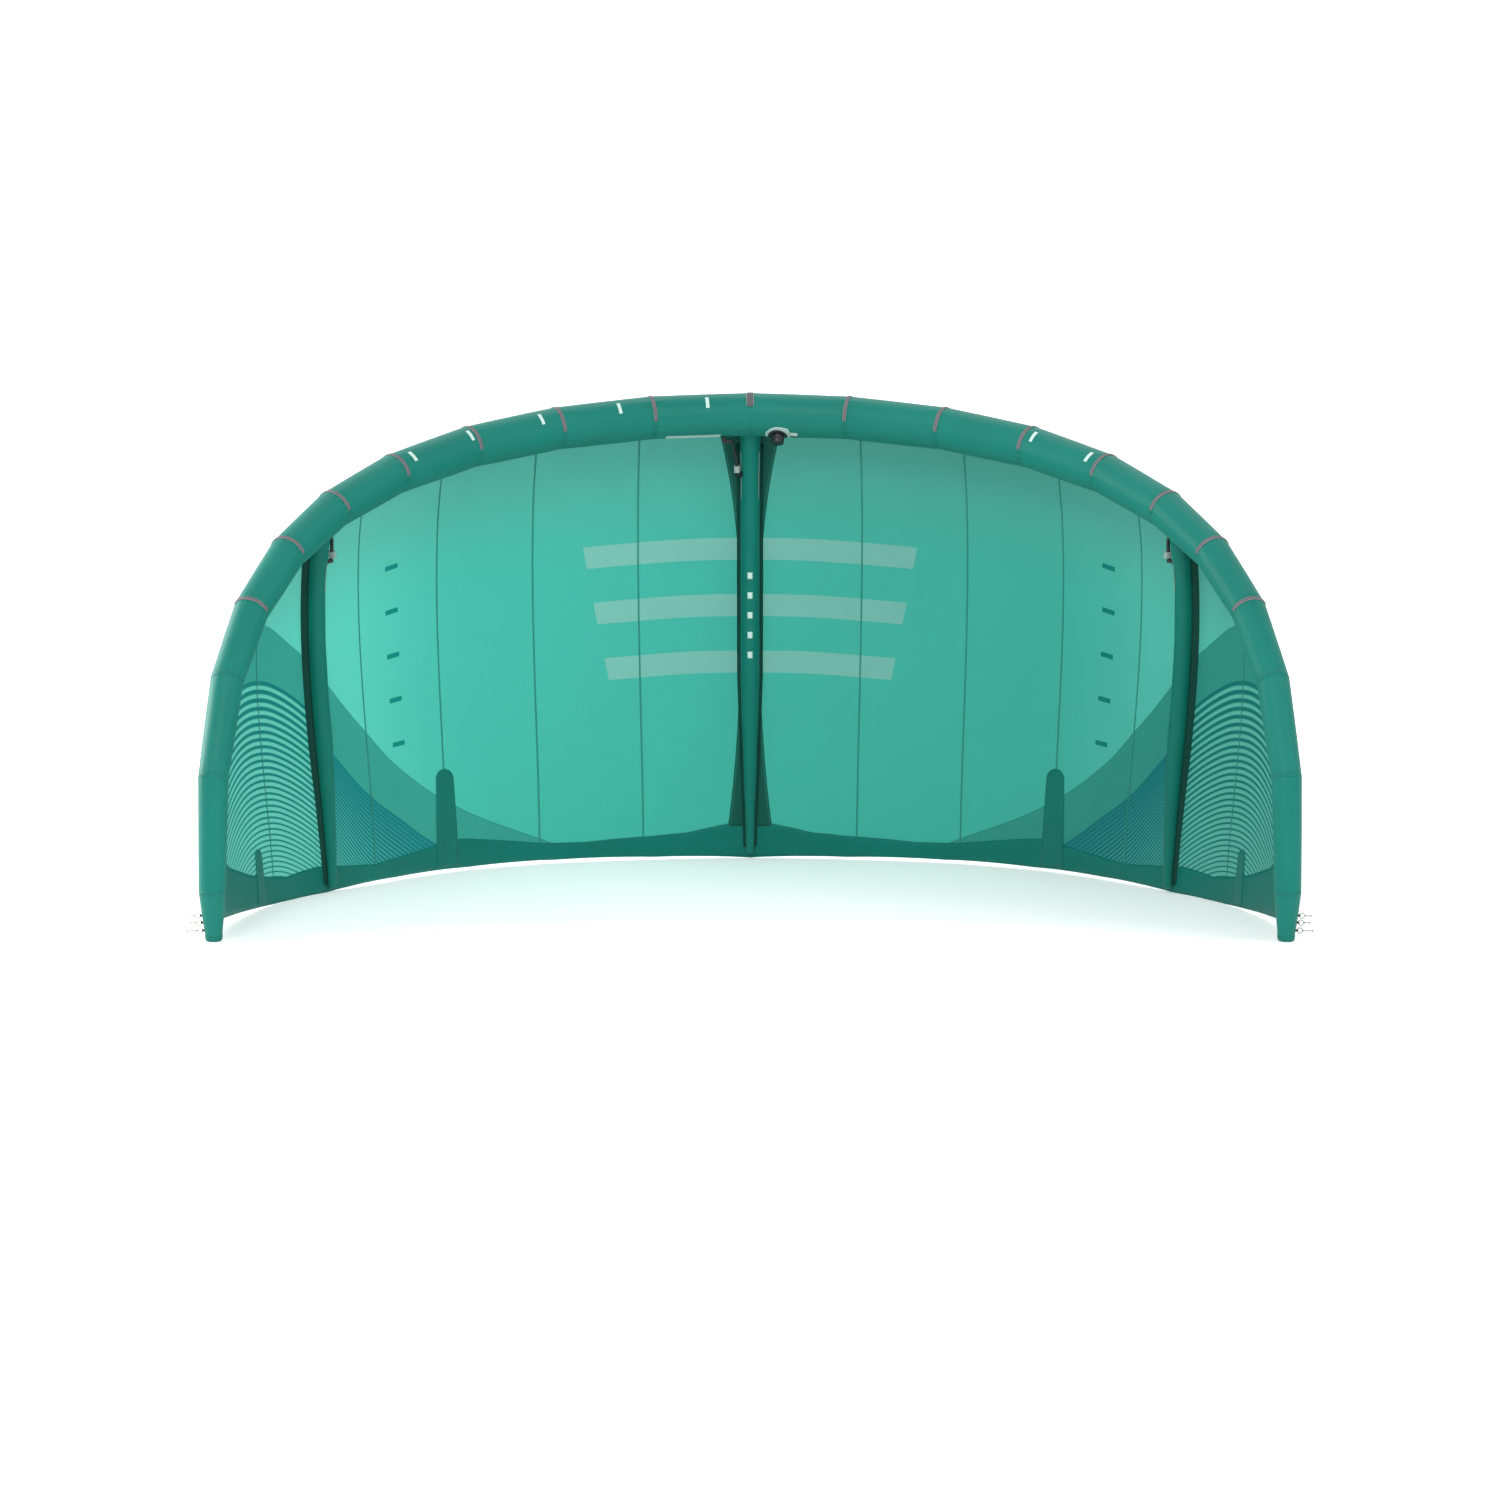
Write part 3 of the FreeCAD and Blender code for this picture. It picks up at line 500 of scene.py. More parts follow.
# %% Handled cloth: uneven tone with painted shade in the crease valleys, soft creases and finer puckers
creased_group, given, result = new_group(
    "creased cloth",
    [
        ("Cloth", "Vector", None), ("Crease Size", "Float", 3.0), ("Unevenness", "Float", 0.08),
        ("Stretch", "Float", 1.0)
    ],
    [("Shade", "Float"), ("Height", "Float")],
)
parts = place(creased_group, "ShaderNodeSeparateXYZ", Vector=given["Cloth"])
pulled = place(
    creased_group, "ShaderNodeCombineXYZ", X=parts.outputs["X"],
    Y=times(parts.outputs["Y"], given["Stretch"])
)
broad = place(
    creased_group, "ShaderNodeTexNoise", Vector=pulled.outputs[0], Scale=given["Crease Size"],
    Detail=3.0, Roughness=0.5
)
fine = place(
    creased_group, "ShaderNodeTexNoise", Vector=pulled.outputs[0],
    Scale=times(given["Crease Size"], 7.0), Detail=4.0
)
broad, fine = broad.outputs[0], fine.outputs[0]
# the colour follows the crease height, so the valleys come out darker: painted shade in the folds,
# on top of uneven tone
swing = minus(plus(times(broad, 1.4), times(fine, 0.6)), 1.0)
shade = plus(1.0, times(swing, given["Unevenness"]))
height = plus(times(broad, 0.7), times(fine, 0.3))
give(result, Shade=shade, Height=height)

# %% Rows of stitches: two dashed rows beside a seam
stitch_group, given, result = new_group(
    "stitch rows",
    [
        ("Across", "Float", 0.0), ("Along", "Float", 0.0), ("Offset", "Float", 0.004),
        ("Stitch", "Float", 0.004), ("Thread", "Float", 0.0012)
    ],
    [("Thread Mask", "Float"), ("Height", "Float")],
)
from_row = calc("ABSOLUTE", minus(calc("ABSOLUTE", given["Across"]), given["Offset"]))
in_row = minus(1.0, calc("MINIMUM", ratio(from_row, given["Thread"]), 1.0))
dash = calc("SINE", times(ratio(given["Along"], given["Stitch"]), 2 * math.pi))
dash = soft_step(dash, -0.5, 0.1)
thread = times(soft_step(in_row, 0.0, 0.5), dash)
give(result, Thread_Mask=thread, Height=times(thread, in_row))

# %% Scuffed moulding: fine grain, scratches and dull handled patches
scuffed_group, given, result = new_group(
    "scuffed moulding",
    [("Place", "Vector", None), ("Grain", "Float", 900.0), ("Scuffs", "Float", 0.2)],
    [("Shade", "Float"), ("Roughness", "Float"), ("Height", "Float")],
)
grain = place(
    scuffed_group, "ShaderNodeTexNoise", Vector=given["Place"], Scale=given["Grain"], Detail=2.0
)
patches = place(
    scuffed_group, "ShaderNodeTexNoise", Vector=given["Place"], Scale=60.0, Detail=6.0,
    Roughness=0.7
)
worn = soft_step(patches.outputs[0], 0.52, 0.72)
shade = plus(1.0, times(worn, given["Scuffs"]))
roughness = plus(0.38, times(worn, 0.25))
give(result, Shade=shade, Roughness=roughness, Height=plus(grain.outputs[0], worn))
print(
    "shared effects:", [g.name for g in (ripstop_group, creased_group, stitch_group, scuffed_group)]
)

# %% [markdown]
# ## Finishes
# The colours are greens between mint and dark teal. A cloth finish takes its colour, runs it
# through uneven tone and painted crease shade, adds the grid and the creases as bump, and
# keeps a soft sheen. Light passes through the canopy, so its shader adds a share of translucency.

# %% Colour helper and the general cloth finish


def rgb(red, green, blue):
    """Linear colour from the 0 to 255 values that a paint chart gives."""
    def linear(v):
        v = v / 255.0
        return v / 12.92 if v <= 0.04045 else ((v + 0.055) / 1.055) ** 2.4
    return (linear(red), linear(green), linear(blue), 1.0)


def start_material(name):
    material = bpy.data.materials.new(name)
    material.use_nodes = True
    tree = material.node_tree
    tree.nodes.clear()
    output = tree.nodes.new("ShaderNodeOutputMaterial")
    return material, tree, output


def put_group(tree, group, **sockets):
    return place(tree, "ShaderNodeGroup", {"node_tree": group}, **sockets).outputs


def plain_colour(tree, colour):
    base = place(tree, "ShaderNodeRGB").outputs[0]
    base.default_value = colour
    return base


def cloth_finish(name, colour, pitch=0.006, crease=4.0, unevenness=0.14, stretch=1.0,
                 roughness=0.55, bump=0.25, grid_shade=0.08, stitches=None, thread=None,
                 through=0.0, paint=None):
    """Cloth that reads its UV map "cloth" in metres. paint(tree, colour) may draw zones on it."""
    material, tree, output = start_material(name)
    cloth = place(tree, "ShaderNodeUVMap", {"uv_map": "cloth"}).outputs[0]
    ripstop = put_group(tree, ripstop_group, Cloth=cloth, Pitch=pitch)
    creased = put_group(
        tree, creased_group, Cloth=cloth, Crease_Size=crease, Unevenness=unevenness, Stretch=stretch
    )
    base = paint(tree, colour) if paint else plain_colour(tree, colour)
    darker = blend_colours(times(ripstop["Grid"], grid_shade), base, (0.0, 0.05, 0.04, 1.0))
    shaded = place(
        tree, "ShaderNodeVectorMath", {"operation": "SCALE"}, i0=darker, Scale=creased["Shade"]
    ).outputs[0]
    height = plus(times(ripstop["Height"], 0.10), creased["Height"])
    if stitches is not None:
        parts = place(tree, "ShaderNodeSeparateXYZ", Vector=cloth)
        rows = put_group(
            tree, stitch_group, Across=parts.outputs["Y"], Along=parts.outputs["X"],
            Offset=stitches, Stitch=0.005, Thread=0.0014
        )
        shaded = blend_colours(rows["Thread Mask"], shaded, thread)
        height = plus(height, times(rows["Height"], 0.8))
    rough = times(creased["Shade"], roughness)
    relief = place(tree, "ShaderNodeBump", Height=height, Strength=bump, Distance=0.004)
    skin = place(
        tree, "ShaderNodeBsdfPrincipled", Base_Color=shaded, Roughness=rough,
        Normal=relief.outputs[0]
    )
    skin.inputs["Sheen Weight"].default_value = 0.03
    skin.inputs["Sheen Roughness"].default_value = 0.45
    skin.inputs["Specular IOR Level"].default_value = 0.18
    surface = skin.outputs[0]
    if through:
        glow = place(tree, "ShaderNodeBsdfTranslucent", Color=shaded, Normal=relief.outputs[0])
        mixed = place(tree, "ShaderNodeMixShader", Fac=through, i1=surface, i2=glow.outputs[0])
        surface = mixed.outputs[0]
    tree.links.new(surface, output.inputs["Surface"])
    return material


def plastic_finish(name, colour, grain=900.0, scuffs=0.4, bump=0.15, coat=0.0):
    material, tree, output = start_material(name)
    where = place(tree, "ShaderNodeTexCoord").outputs["Object"]
    scuffed = put_group(tree, scuffed_group, Place=where, Grain=grain, Scuffs=scuffs)
    base = plain_colour(tree, colour)
    shaded = place(
        tree, "ShaderNodeVectorMath", {"operation": "SCALE"}, i0=base, Scale=scuffed["Shade"]
    ).outputs[0]
    relief = place(tree, "ShaderNodeBump", Height=scuffed["Height"], Strength=bump, Distance=0.0004)
    skin = place(
        tree, "ShaderNodeBsdfPrincipled", Base_Color=shaded, Roughness=scuffed["Roughness"],
        Normal=relief.outputs[0]
    )
    skin.inputs["Coat Weight"].default_value = coat
    tree.links.new(skin.outputs[0], output.inputs["Surface"])
    return material

# %% [markdown]
# ## The pigtails
# Each wingtip carries three short pigtails of coated line: a loop through a sewn tab, a
# knot at the loop's neck and a stub with a stopper knot, where the rear lines are tied.
# Every pigtail is one smooth spline whose control points outline the loop, so
# the line bends like rope.

# %% The coated line's finish
line_finish, tree, output = start_material("coated_line")
where = place(tree, "ShaderNodeTexCoord").outputs["Object"]
braid = place(
    tree, "ShaderNodeTexWave", {"bands_direction": "DIAGONAL"}, Vector=where, Scale=260.0,
    Distortion=2.0, Detail=2.0
)
braid_colour = blend_colours(braid.outputs["Fac"], rgb(96, 98, 76), rgb(168, 166, 138))
relief = place(tree, "ShaderNodeBump", Height=braid.outputs["Fac"], Strength=0.5, Distance=0.0004)
fibre = place(
    tree, "ShaderNodeBsdfPrincipled", Base_Color=braid_colour, Roughness=0.6,
    Normal=relief.outputs[0]
)
tree.links.new(fibre.outputs[0], output.inputs["Surface"])

# %% Six pigtails with their knots
PIGTAIL_HEIGHTS = (0.082, 0.058, 0.031)
PIGTAIL_STUBS = (0.021, 0.019, 0.034)
LINE_DIAMETER = 0.0026
EYE = 0.0049


def knot_mesh(name, centre, way, across, size):
    """A small overhand knot: a lumpy ball of three crossing wraps."""
    other = np.cross(way, across)
    wraps = []
    for tilt in (-0.6, 0.1, 0.8):
        a = np.linspace(0, 2 * math.pi, 25)[:, None]
        lean = way * math.sin(tilt) + other * math.cos(tilt)
        ring = centre + (across * np.cos(a) + lean * np.sin(a)) * size * 0.62
        ring = ring + way * size * 0.35 * math.sin(tilt)
        wraps.append(round_line_mesh(name, ring, size * 0.5, 8))
    return joined_mesh(name, wraps)


pigtails = []
for side, side_name in HALVES:
    for number, (height, stub) in enumerate(zip(PIGTAIL_HEIGHTS, PIGTAIL_STUBS), 1):
        seat, square, along = tube_frame(1 - height / HALF_TUBE, 90.0)
        neck = EYE + 0.018
        route = [
            (neck + stub, 0.0004), (neck + 0.6 * stub, -0.0006), (neck + 0.001, 0.0),
            (neck - 0.005, 0.0078), (0.0139, 0.0098), (0.0068, 0.0066), (0.0046, 0.0),
            (0.0068, -0.0066), (0.0139, -0.0098), (neck - 0.005, -0.0078), (neck + 0.0008, -0.0010),
        ]
        points = stand(
            np.array([seat + square * out + along * aside for out, aside in route]), side
        )
        body = f"pigtail_{number}_{side_name}_body"
        curve = bpy.data.curves.new(f"pigtail_line_{number}_{side_name}", "CURVE")
        curve.dimensions = "3D"
        curve.bevel_depth = LINE_DIAMETER / 2
        curve.bevel_resolution = 4
        curve.use_fill_caps = True
        spline = curve.splines.new("NURBS")
        spline.points.add(len(points) - 1)
        for spot, point in zip(spline.points, points):
            spot.co = (*point, 1.0)
        spline.order_u = 3
        spline.use_endpoint_u = True
        spline.resolution_u = 12
        pigtail = link(curve.name, curve, line_finish)
        way, across = stand_way(square, side), stand_way(along, side)
        for label, out in (("stopper", neck + stub - 0.001), ("neck", neck + 0.001)):
            centre = stand(seat + square * out, side)
            knot = dressed(
                f"{label}_knot_{number}_{side_name}", knot_mesh(label, centre, way, across, 0.0024),
                line_finish, "coated_line", body=body
            )
        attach(pigtail, body)
        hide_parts(f"pigtail_{number}_{side_name}")
        bare = curve.copy()
        bare.bevel_depth = 0.0
        route_line = bpy.data.meshes.new_from_object(bpy.data.objects.new("bare_line", bare))
        pigtails.append(pigtail)

# %% [markdown]
# The tabs that hold the pigtails are short loops of dark webbing, folded round the eye
# and sewn flat to the tube's outer side.

# %% Sewn webbing tabs
webbing_finish = cloth_finish(
    "dark_webbing", rgb(14, 34, 32), pitch=0.0014, crease=60.0, unevenness=0.2, roughness=0.7,
    bump=0.6, grid_shade=0.5
)
for side, side_name in HALVES:
    loops = []
    for height in PIGTAIL_HEIGHTS:
        seat, square, along = tube_frame(1 - height / HALF_TUBE, 90.0)
        across = np.cross(along, square)
        profile = [(-0.0030, -0.0042), (0.0004, -0.0033), (0.0028, -0.0030)]
        profile += [
            (EYE + 0.0030 * math.sin(t), -0.0030 * math.cos(t))
            for t in np.linspace(0.1, math.pi - 0.1, 13)
        ]
        profile += [(0.0028, 0.0030), (0.0004, 0.0033), (-0.0030, 0.0042)]
        profile = np.array(profile)
        turn = np.gradient(profile, axis=0)
        turn /= np.linalg.norm(turn, axis=1)[:, None]
        normal = np.stack([turn[:, 1], -turn[:, 0]], axis=1)
        widths = np.linspace(-0.0030, 0.0030, 5)
        shells = []
        for push in (-0.0005, 0.0005):
            edge = profile + normal * push
            shells.append(
                np.array(
                    [
                        [
                            stand(seat + square * x + across * z + along * w, side) for w in widths
                        ] for x,
                        z in edge
                    ]
                )
            )
        run = np.concatenate([[0], np.cumsum(np.linalg.norm(np.diff(profile, axis=0), axis=1))])
        cloth = cloth_grid(run, widths)
        loops.append(shell_mesh("tab_loop", shells[0], shells[1], {"cloth": cloth}))
    dressed(
        f"pigtail_loops_{side_name}", loops, webbing_finish, "dark_webbing",
        f"pigtail_tabs_{side_name}"
    )
print("pigtails:", len(pigtails))

# %% [markdown]
# ## Studio floor and light
# A broad soft lamp on the left, a little behind, lights the canopy through its cloth and
# gives the left tip its bright rim. One in front and above fills the hollow, a weak one
# evens the right half, one whitens the backdrop, and a pale world opens the shadows.

# %% Floor, lamps and world
floor_rows = [
    (-60.0, 0.0), (2.0, 0.0), (5.0, 0.0), (8.0, 0.0), (10.5, 0.25), (12.5, 1.0), (14.0, 2.4),
    (14.8, 4.5), (15.0, 14.0)
]
floor_points = np.array([[(x, y, z) for x in (-60.0, -8.0, 8.0, 60.0)] for y, z in floor_rows])
floor_finish, tree, output = start_material("pale_floor")
where = place(tree, "ShaderNodeTexCoord").outputs["Object"]
mottle = place(tree, "ShaderNodeTexNoise", Vector=where, Scale=1.5, Detail=3.0)
pale = blend_colours(mottle.outputs[0], rgb(238, 240, 240), rgb(244, 245, 245))
floor_skin = place(tree, "ShaderNodeBsdfPrincipled", Base_Color=pale, Roughness=0.7)
floor_skin.inputs["Emission Color"].default_value = (1.0, 1.0, 1.0, 1.0)
floor_skin.inputs["Emission Strength"].default_value = 0.30
tree.links.new(floor_skin.outputs[0], output.inputs["Surface"])
studio_floor = link("studio_floor", grid_mesh("studio_floor", floor_points), floor_finish)
rounding = studio_floor.modifiers.new("rounding", "SUBSURF")
rounding.levels = rounding.render_levels = 3

world = bpy.data.worlds.new("studio_world")
world.use_nodes = True
world.node_tree.nodes["Background"].inputs["Color"].default_value = (0.96, 0.98, 1.0, 1.0)
world.node_tree.nodes["Background"].inputs["Strength"].default_value = 0.66
bpy.context.scene.world = world
bpy.context.scene.view_settings.view_transform = "Standard"


def soft_lamp(name, spot, target, size, power):
    lamp = bpy.data.lights.new(name, "AREA")
    lamp.shape = "RECTANGLE"
    lamp.size, lamp.size_y = size
    lamp.energy = power
    holder = bpy.data.objects.new(name, lamp)
    holder.location = spot
    way = np.array(target) - np.array(spot)
    flat = math.hypot(way[0], way[1])
    holder.rotation_euler = (
        math.atan2(flat, -way[2]), 0.0, math.atan2(way[1], way[0]) - math.pi / 2
    )
    bpy.context.scene.collection.objects.link(holder)


soft_lamp("left_lamp", (-6.5, 1.6, 2.6), (-1.0, 0.0, 0.8), (3.0, 3.0), 430.0)
soft_lamp("front_lamp", (-1.5, -8.5, 7.5), (0.0, 0.0, 0.8), (5.0, 3.0), 520.0)
soft_lamp("right_lamp", (6.5, -4.0, 5.0), (0.0, 0.0, 0.8), (3.0, 3.0), 120.0)
soft_lamp("backdrop_lamp", (0.0, 5.5, 9.0), (0.0, 12.0, 1.5), (10.0, 3.0), 900.0)

# %% [markdown]
# ## The leading edge
# The tube is one inflated skin from tip to tip. Every panel is sewn to the next, so the
# cloth pinches in a little at each seam and small puckers run away from it, strongest on
# the hollow side, where the tube bends. Rows of points are packed closer near the seams.

# %% The inflated skin
TURNS = 120
tube_angles = np.arange(TURNS) * 360.0 / TURNS
panel_stations = np.array(
    [0.0, 0.012, 0.03, 0.06, 0.11, 0.2, 0.34, 0.5, 0.66, 0.8, 0.89, 0.94, 0.97, 0.988]
)


def tube_skin(s, side):
    """A ring of the skin with its seam pinches and puckers."""
    from_seam = np.abs(RING_PLACES[:-1] - s)
    seam = int(from_seam.argmin())
    gap = from_seam[seam] * HALF_TUBE
    pinch = -0.0016 * math.exp(-((gap / 0.007) ** 2))
    inside = 0.45 + 0.9 * np.clip(np.cos(np.radians(tube_angles - 262.0)), 0, 1)
    pucker = np.sin(np.radians(tube_angles) * (15 + seam % 4) + 2.1 * seam + 0.7 * side)
    pucker += 0.5 * np.sin(np.radians(tube_angles) * 9 + 1.3 * seam)
    lift = pinch + 0.0009 * math.exp(-((gap / 0.034) ** 2)) * pucker * inside * min(1.0, gap / 0.01)
    share = panel_of(s)[1]
    swell = 0.0008 * math.sin(math.pi * share) if s < 0.99 else 0.0
    return stand(tube_points(s, tube_angles, lift + swell), side)


half_places = []
for k in range(len(PANEL_LENGTHS)):
    half_places += list(RING_PLACES[k] + panel_stations * (RING_PLACES[k + 1] - RING_PLACES[k]))
half_places.append(1.0)
tube_rows = [tube_skin(s, -1) for s in half_places[:0:-1]] + [tube_skin(s, 1) for s in half_places]
tube_runs = np.array([-s for s in half_places[:0:-1]] + half_places) * HALF_TUBE
around = np.arange(TURNS + 1) / TURNS * 2 * math.pi * 0.065
tube_map = cloth_grid(tube_runs, around)
tube_mesh = grid_mesh("leading_edge_skin", np.array(tube_rows), {"cloth": tube_map}, wrapped=True)
face_outward(tube_mesh)

# %% Cut the valve's hole, which the patch covers
VALVE_PLACE, VALVE_ANGLE = 0.0296, -38.0
valve_seat, valve_square, valve_along = tube_frame(VALVE_PLACE, VALVE_ANGLE)
valve_across = -np.cross(valve_square, valve_along)
hole_centre = stand(valve_seat)
made = bmesh.new()
made.from_mesh(tube_mesh)
HOLE_RADIUS = 0.026
from_hole = [np.array(v.co) - hole_centre for v in made.verts]
inside_hole = [v for v, way in zip(made.verts, from_hole) if way.dot(way) < HOLE_RADIUS**2]
bmesh.ops.delete(made, geom=inside_hole, context="VERTS")
made.to_mesh(tube_mesh)
made.free()

tube_cloth = cloth_finish(
    "leading_edge_cloth", rgb(14, 116, 103), pitch=0.007, crease=3.2, unevenness=0.20, stretch=2.0,
    roughness=0.5, bump=0.22, grid_shade=0.05
)
dressed(
    "leading_edge_skin", tube_mesh, tube_cloth, "leading_edge_dacron", "tube_panels_inner_left",
    "tube_panels_inner_right", "tube_panels_outer_left", "tube_panels_outer_right"
)
print("leading edge points:", len(tube_mesh.vertices))

# %% [markdown]
# The seams are flat felled and double stitched. A thin band of the same cloth lies over
# each, with two rows of thread, and a folded hem closes the tube's end at each tip.

# %% Seam bands, tip hems and the strip that joins the canopy


def tube_band(places, angles, lift, thickness, side, taper=None):
    """A closed band of cloth on the tube, with its UV across the band and round the tube."""
    taper = np.ones(len(places)) if taper is None else taper
    lifts = [lift + thickness * t for t in taper]
    under = laid(tube_points, places, angles, lift, side)
    over = np.array([stand(tube_points(s, angles, top), side) for s, top in zip(places, lifts)])
    middle = sum(places) / len(places)
    across = (np.array(places) - middle) * HALF_TUBE
    along = np.radians(angles) * tube_radius(middle)
    return shell_mesh("band", under, over, {"cloth": cloth_grid(across, along)[..., ::-1]})


seam_bands = []
full_turn = np.linspace(-10.0, 350.0, 91)
for side in (1, -1):
    for k in range(1, len(PANEL_LENGTHS)):
        reach = 0.009 / HALF_TUBE
        places = [RING_PLACES[k] + reach * t for t in (-1.0, -0.6, 0.0, 0.6, 1.0)]
        seam_bands.append(
            tube_band(places, full_turn, -0.0013, 0.0016, side, taper=[0.6, 0.95, 1.0, 0.95, 0.6])
        )
    hem = [1 - 0.016 / HALF_TUBE, 1 - 0.010 / HALF_TUBE, 1 - 0.004 / HALF_TUBE, 1.0]
    seam_bands.append(tube_band(hem, full_turn, 0.0001, 0.0011, side, taper=[0.5, 1.0, 1.0, 0.6]))
band_finish = cloth_finish(
    "seam_band_cloth", rgb(12, 110, 98), crease=8.0, unevenness=0.15, roughness=0.5, bump=0.3,
    stitches=0.0052, thread=rgb(28, 122, 109)
)
dressed("tube_seam_bands", seam_bands, band_finish, "leading_edge_dacron")

strip_finish = cloth_finish(
    "joining_strip", rgb(16, 108, 95), crease=5.0, unevenness=0.16, bump=0.3, stitches=0.006,
    thread=rgb(40, 128, 115)
)
strip_places = np.linspace(0.0, CANOPY_END, 150)
TUBE_FLAP = np.array([33.0, 38.0, 43.0, 48.0])
CANOPY_FLAP = np.array([0.000, 0.006, 0.012, 0.018])
flaps = [
    (
        tube_points, TUBE_FLAP, 0.0003, np.array([0.0006, 0.0013, 0.0013, 0.0013]),
        np.radians(TUBE_FLAP - 40.5) * 0.06
    ),
    (canopy_points, CANOPY_FLAP, 0.0004, 0.0012, np.array([-0.012, -0.004, 0.004, 0.012])),
]
joining = []
for side in (1, -1):
    for surface, spread, low, high, across in flaps:
        under, over = [laid(surface, strip_places, spread, lift, side) for lift in (low, high)]
        cloth = cloth_grid(strip_places * HALF_TUBE, across)
        joining.append(shell_mesh("strip", under, over, {"cloth": cloth}))
dressed("canopy_joining_strip", joining, strip_finish, "reinforcing_dacron")
print("seam bands:", len(seam_bands), "strips:", len(joining))

# %% [markdown]
# ## The canopy
# The canopy is one continuous sheet of light ripstop. Its printed zones follow the
# place along the span and the share of the chord, so they sit in a second UV map. A
# darker zone rises from the trailing edge's middle towards the wingtips. Narrow stripes
# fill its lower part as far as the side struts, and nested humps fill it beyond them.
# Plain pale bars lie across the centre, with a column of short bars on each half.

# %% Curves that bound the printed zones


def span_curve(value, knots):
    """A smooth curve from place along the span to share of the chord."""
    node = place(value.id_data, "ShaderNodeFloatCurve", Value=value)
    curve = node.mapping.curves[0]
    curve.points[0].location, curve.points[1].location = knots[0], knots[-1]
    for knot in knots[1:-1]:
        curve.points.new(*knot)
    node.mapping.update()
    return node.outputs[0]


WAVE_KNOTS = [
    (0.0, 1.0), (0.15, 1.0), (0.218, 0.946), (0.31, 0.85), (0.386, 0.726), (0.435, 0.605),
    (0.494, 0.425), (0.54, 0.297), (0.60, 0.150), (0.66, 0.04), (0.72, 0.0), (1.0, 0.0),
]
STRIPE_KNOTS = [
    (0.0, 1.0), (0.28, 1.0), (0.342, 0.93), (0.391, 0.85), (0.435, 0.773), (0.469, 0.682),
    (0.503, 0.582), (0.54, 0.47), (1.0, 0.4)
]
HUMP_MIDDLE = 0.62
HUMP_TOP = 0.71 * chord_at(HUMP_MIDDLE)
HUMP_BOW = 14.0
BAR_TOP, BAR_FOOT, BAR_PITCH = 0.43, 1.09, 0.22
BAR_REACH, BAR_SLANT = 0.66, -0.16
STRIPE_PITCH = 0.0125
MARK_PLACE = 0.385
MARK_ROWS = (0.225, 0.335, 0.445, 0.555, 0.665)


def within(value, middle, reach, edge):
    """1 where value is within reach of middle."""
    away = calc("ABSOLUTE", minus(value, middle))
    return soft_step(away, reach + edge, reach - edge)


def canopy_paint(tree, mint):
    layout = place(tree, "ShaderNodeUVMap", {"uv_map": "layout"}).outputs[0]
    cloth = place(tree, "ShaderNodeUVMap", {"uv_map": "cloth"}).outputs[0]
    shares = place(tree, "ShaderNodeSeparateXYZ", Vector=layout)
    metres = place(tree, "ShaderNodeSeparateXYZ", Vector=cloth)
    s = calc("ABSOLUTE", shares.outputs["X"])
    u = shares.outputs["Y"]
    down = metres.outputs["Y"]
    over_wave = minus(u, span_curve(s, WAVE_KNOTS))
    over_stripe = minus(u, span_curve(s, STRIPE_KNOTS))
    # painted light: the mint turns lighter from a third of the way out, standing in for light
    # shining through the cloth
    upper = blend_colours(soft_step(s, 0.28, 0.50), mint, rgb(78, 175, 159))
    # painted shadow: a greyer, darker band along the canopy's front, under the tube
    tube_shadow_share = times(soft_step(u, 0.35, 0.0), 0.55)
    upper = blend_colours(tube_shadow_share, upper, rgb(80, 140, 128))
    # broad pale bars either side of the centre strut
    span = calc("ABSOLUTE", metres.outputs["X"])
    row = calc("FRACT", ratio(minus(down, BAR_TOP), BAR_PITCH))
    bar = minus(0.20, calc("ABSOLUTE", minus(row, 0.32)))
    reach = plus(BAR_REACH, times(down, BAR_SLANT))
    inside = calc("MINIMUM", minus(down, BAR_TOP), minus(BAR_FOOT, down))
    inside = calc("MINIMUM", minus(reach, span), inside)
    pale = times(soft_step(bar, 0.0, 0.01), soft_step(inside, 0.0, 0.002))
    printed = blend_colours(times(pale, 0.85), upper, rgb(112, 168, 157))
    # a column of short teal bars on each half
    column = within(s, MARK_PLACE, 0.0085, 0.0003)
    for row_place in MARK_ROWS:
        mark = times(column, within(u, row_place, 0.006, 0.0006))
        printed = blend_colours(mark, printed, rgb(6, 112, 104))
    # the darker zone with its thin outline
    deep = blend_colours(within(over_wave, 0.0, 0.0014, 0.0006), rgb(44, 132, 119), rgb(12, 98, 86))
    # stripes inside the side struts, closest and darkest along their upper edge
    lighter_gaps = minus(0.96, times(over_stripe, 1.6))
    stripe = minus(lighter_gaps, calc("FRACT", ratio(over_stripe, STRIPE_PITCH)))
    striped = blend_colours(soft_step(stripe, -0.10, 0.10), rgb(64, 148, 134), rgb(6, 104, 106))
    striped_zone = times(soft_step(over_stripe, 0.0, 0.0015), soft_step(s, 0.516, 0.514))
    deep = blend_colours(striped_zone, deep, striped)
    # nested humps outside them
    above_foot = times(ratio(down, u), minus(1.0, u))
    bow = times(calc("POWER", minus(s, HUMP_MIDDLE), 2.0), HUMP_BOW)
    rise = minus(HUMP_TOP, plus(above_foot, bow))
    humps = times(rise, plus(30.0, times(rise, 16.0)))
    hump = minus(minus(0.55, times(rise, 0.35)), calc("FRACT", humps))
    humped = blend_colours(soft_step(hump, -0.10, 0.10), rgb(84, 166, 150), rgb(6, 104, 98))
    humped_zone = times(soft_step(rise, 0.0, 0.002), soft_step(s, 0.514, 0.516))
    deep = blend_colours(humped_zone, deep, humped)
    return blend_colours(soft_step(over_wave, -0.0012, 0.0012), printed, deep)


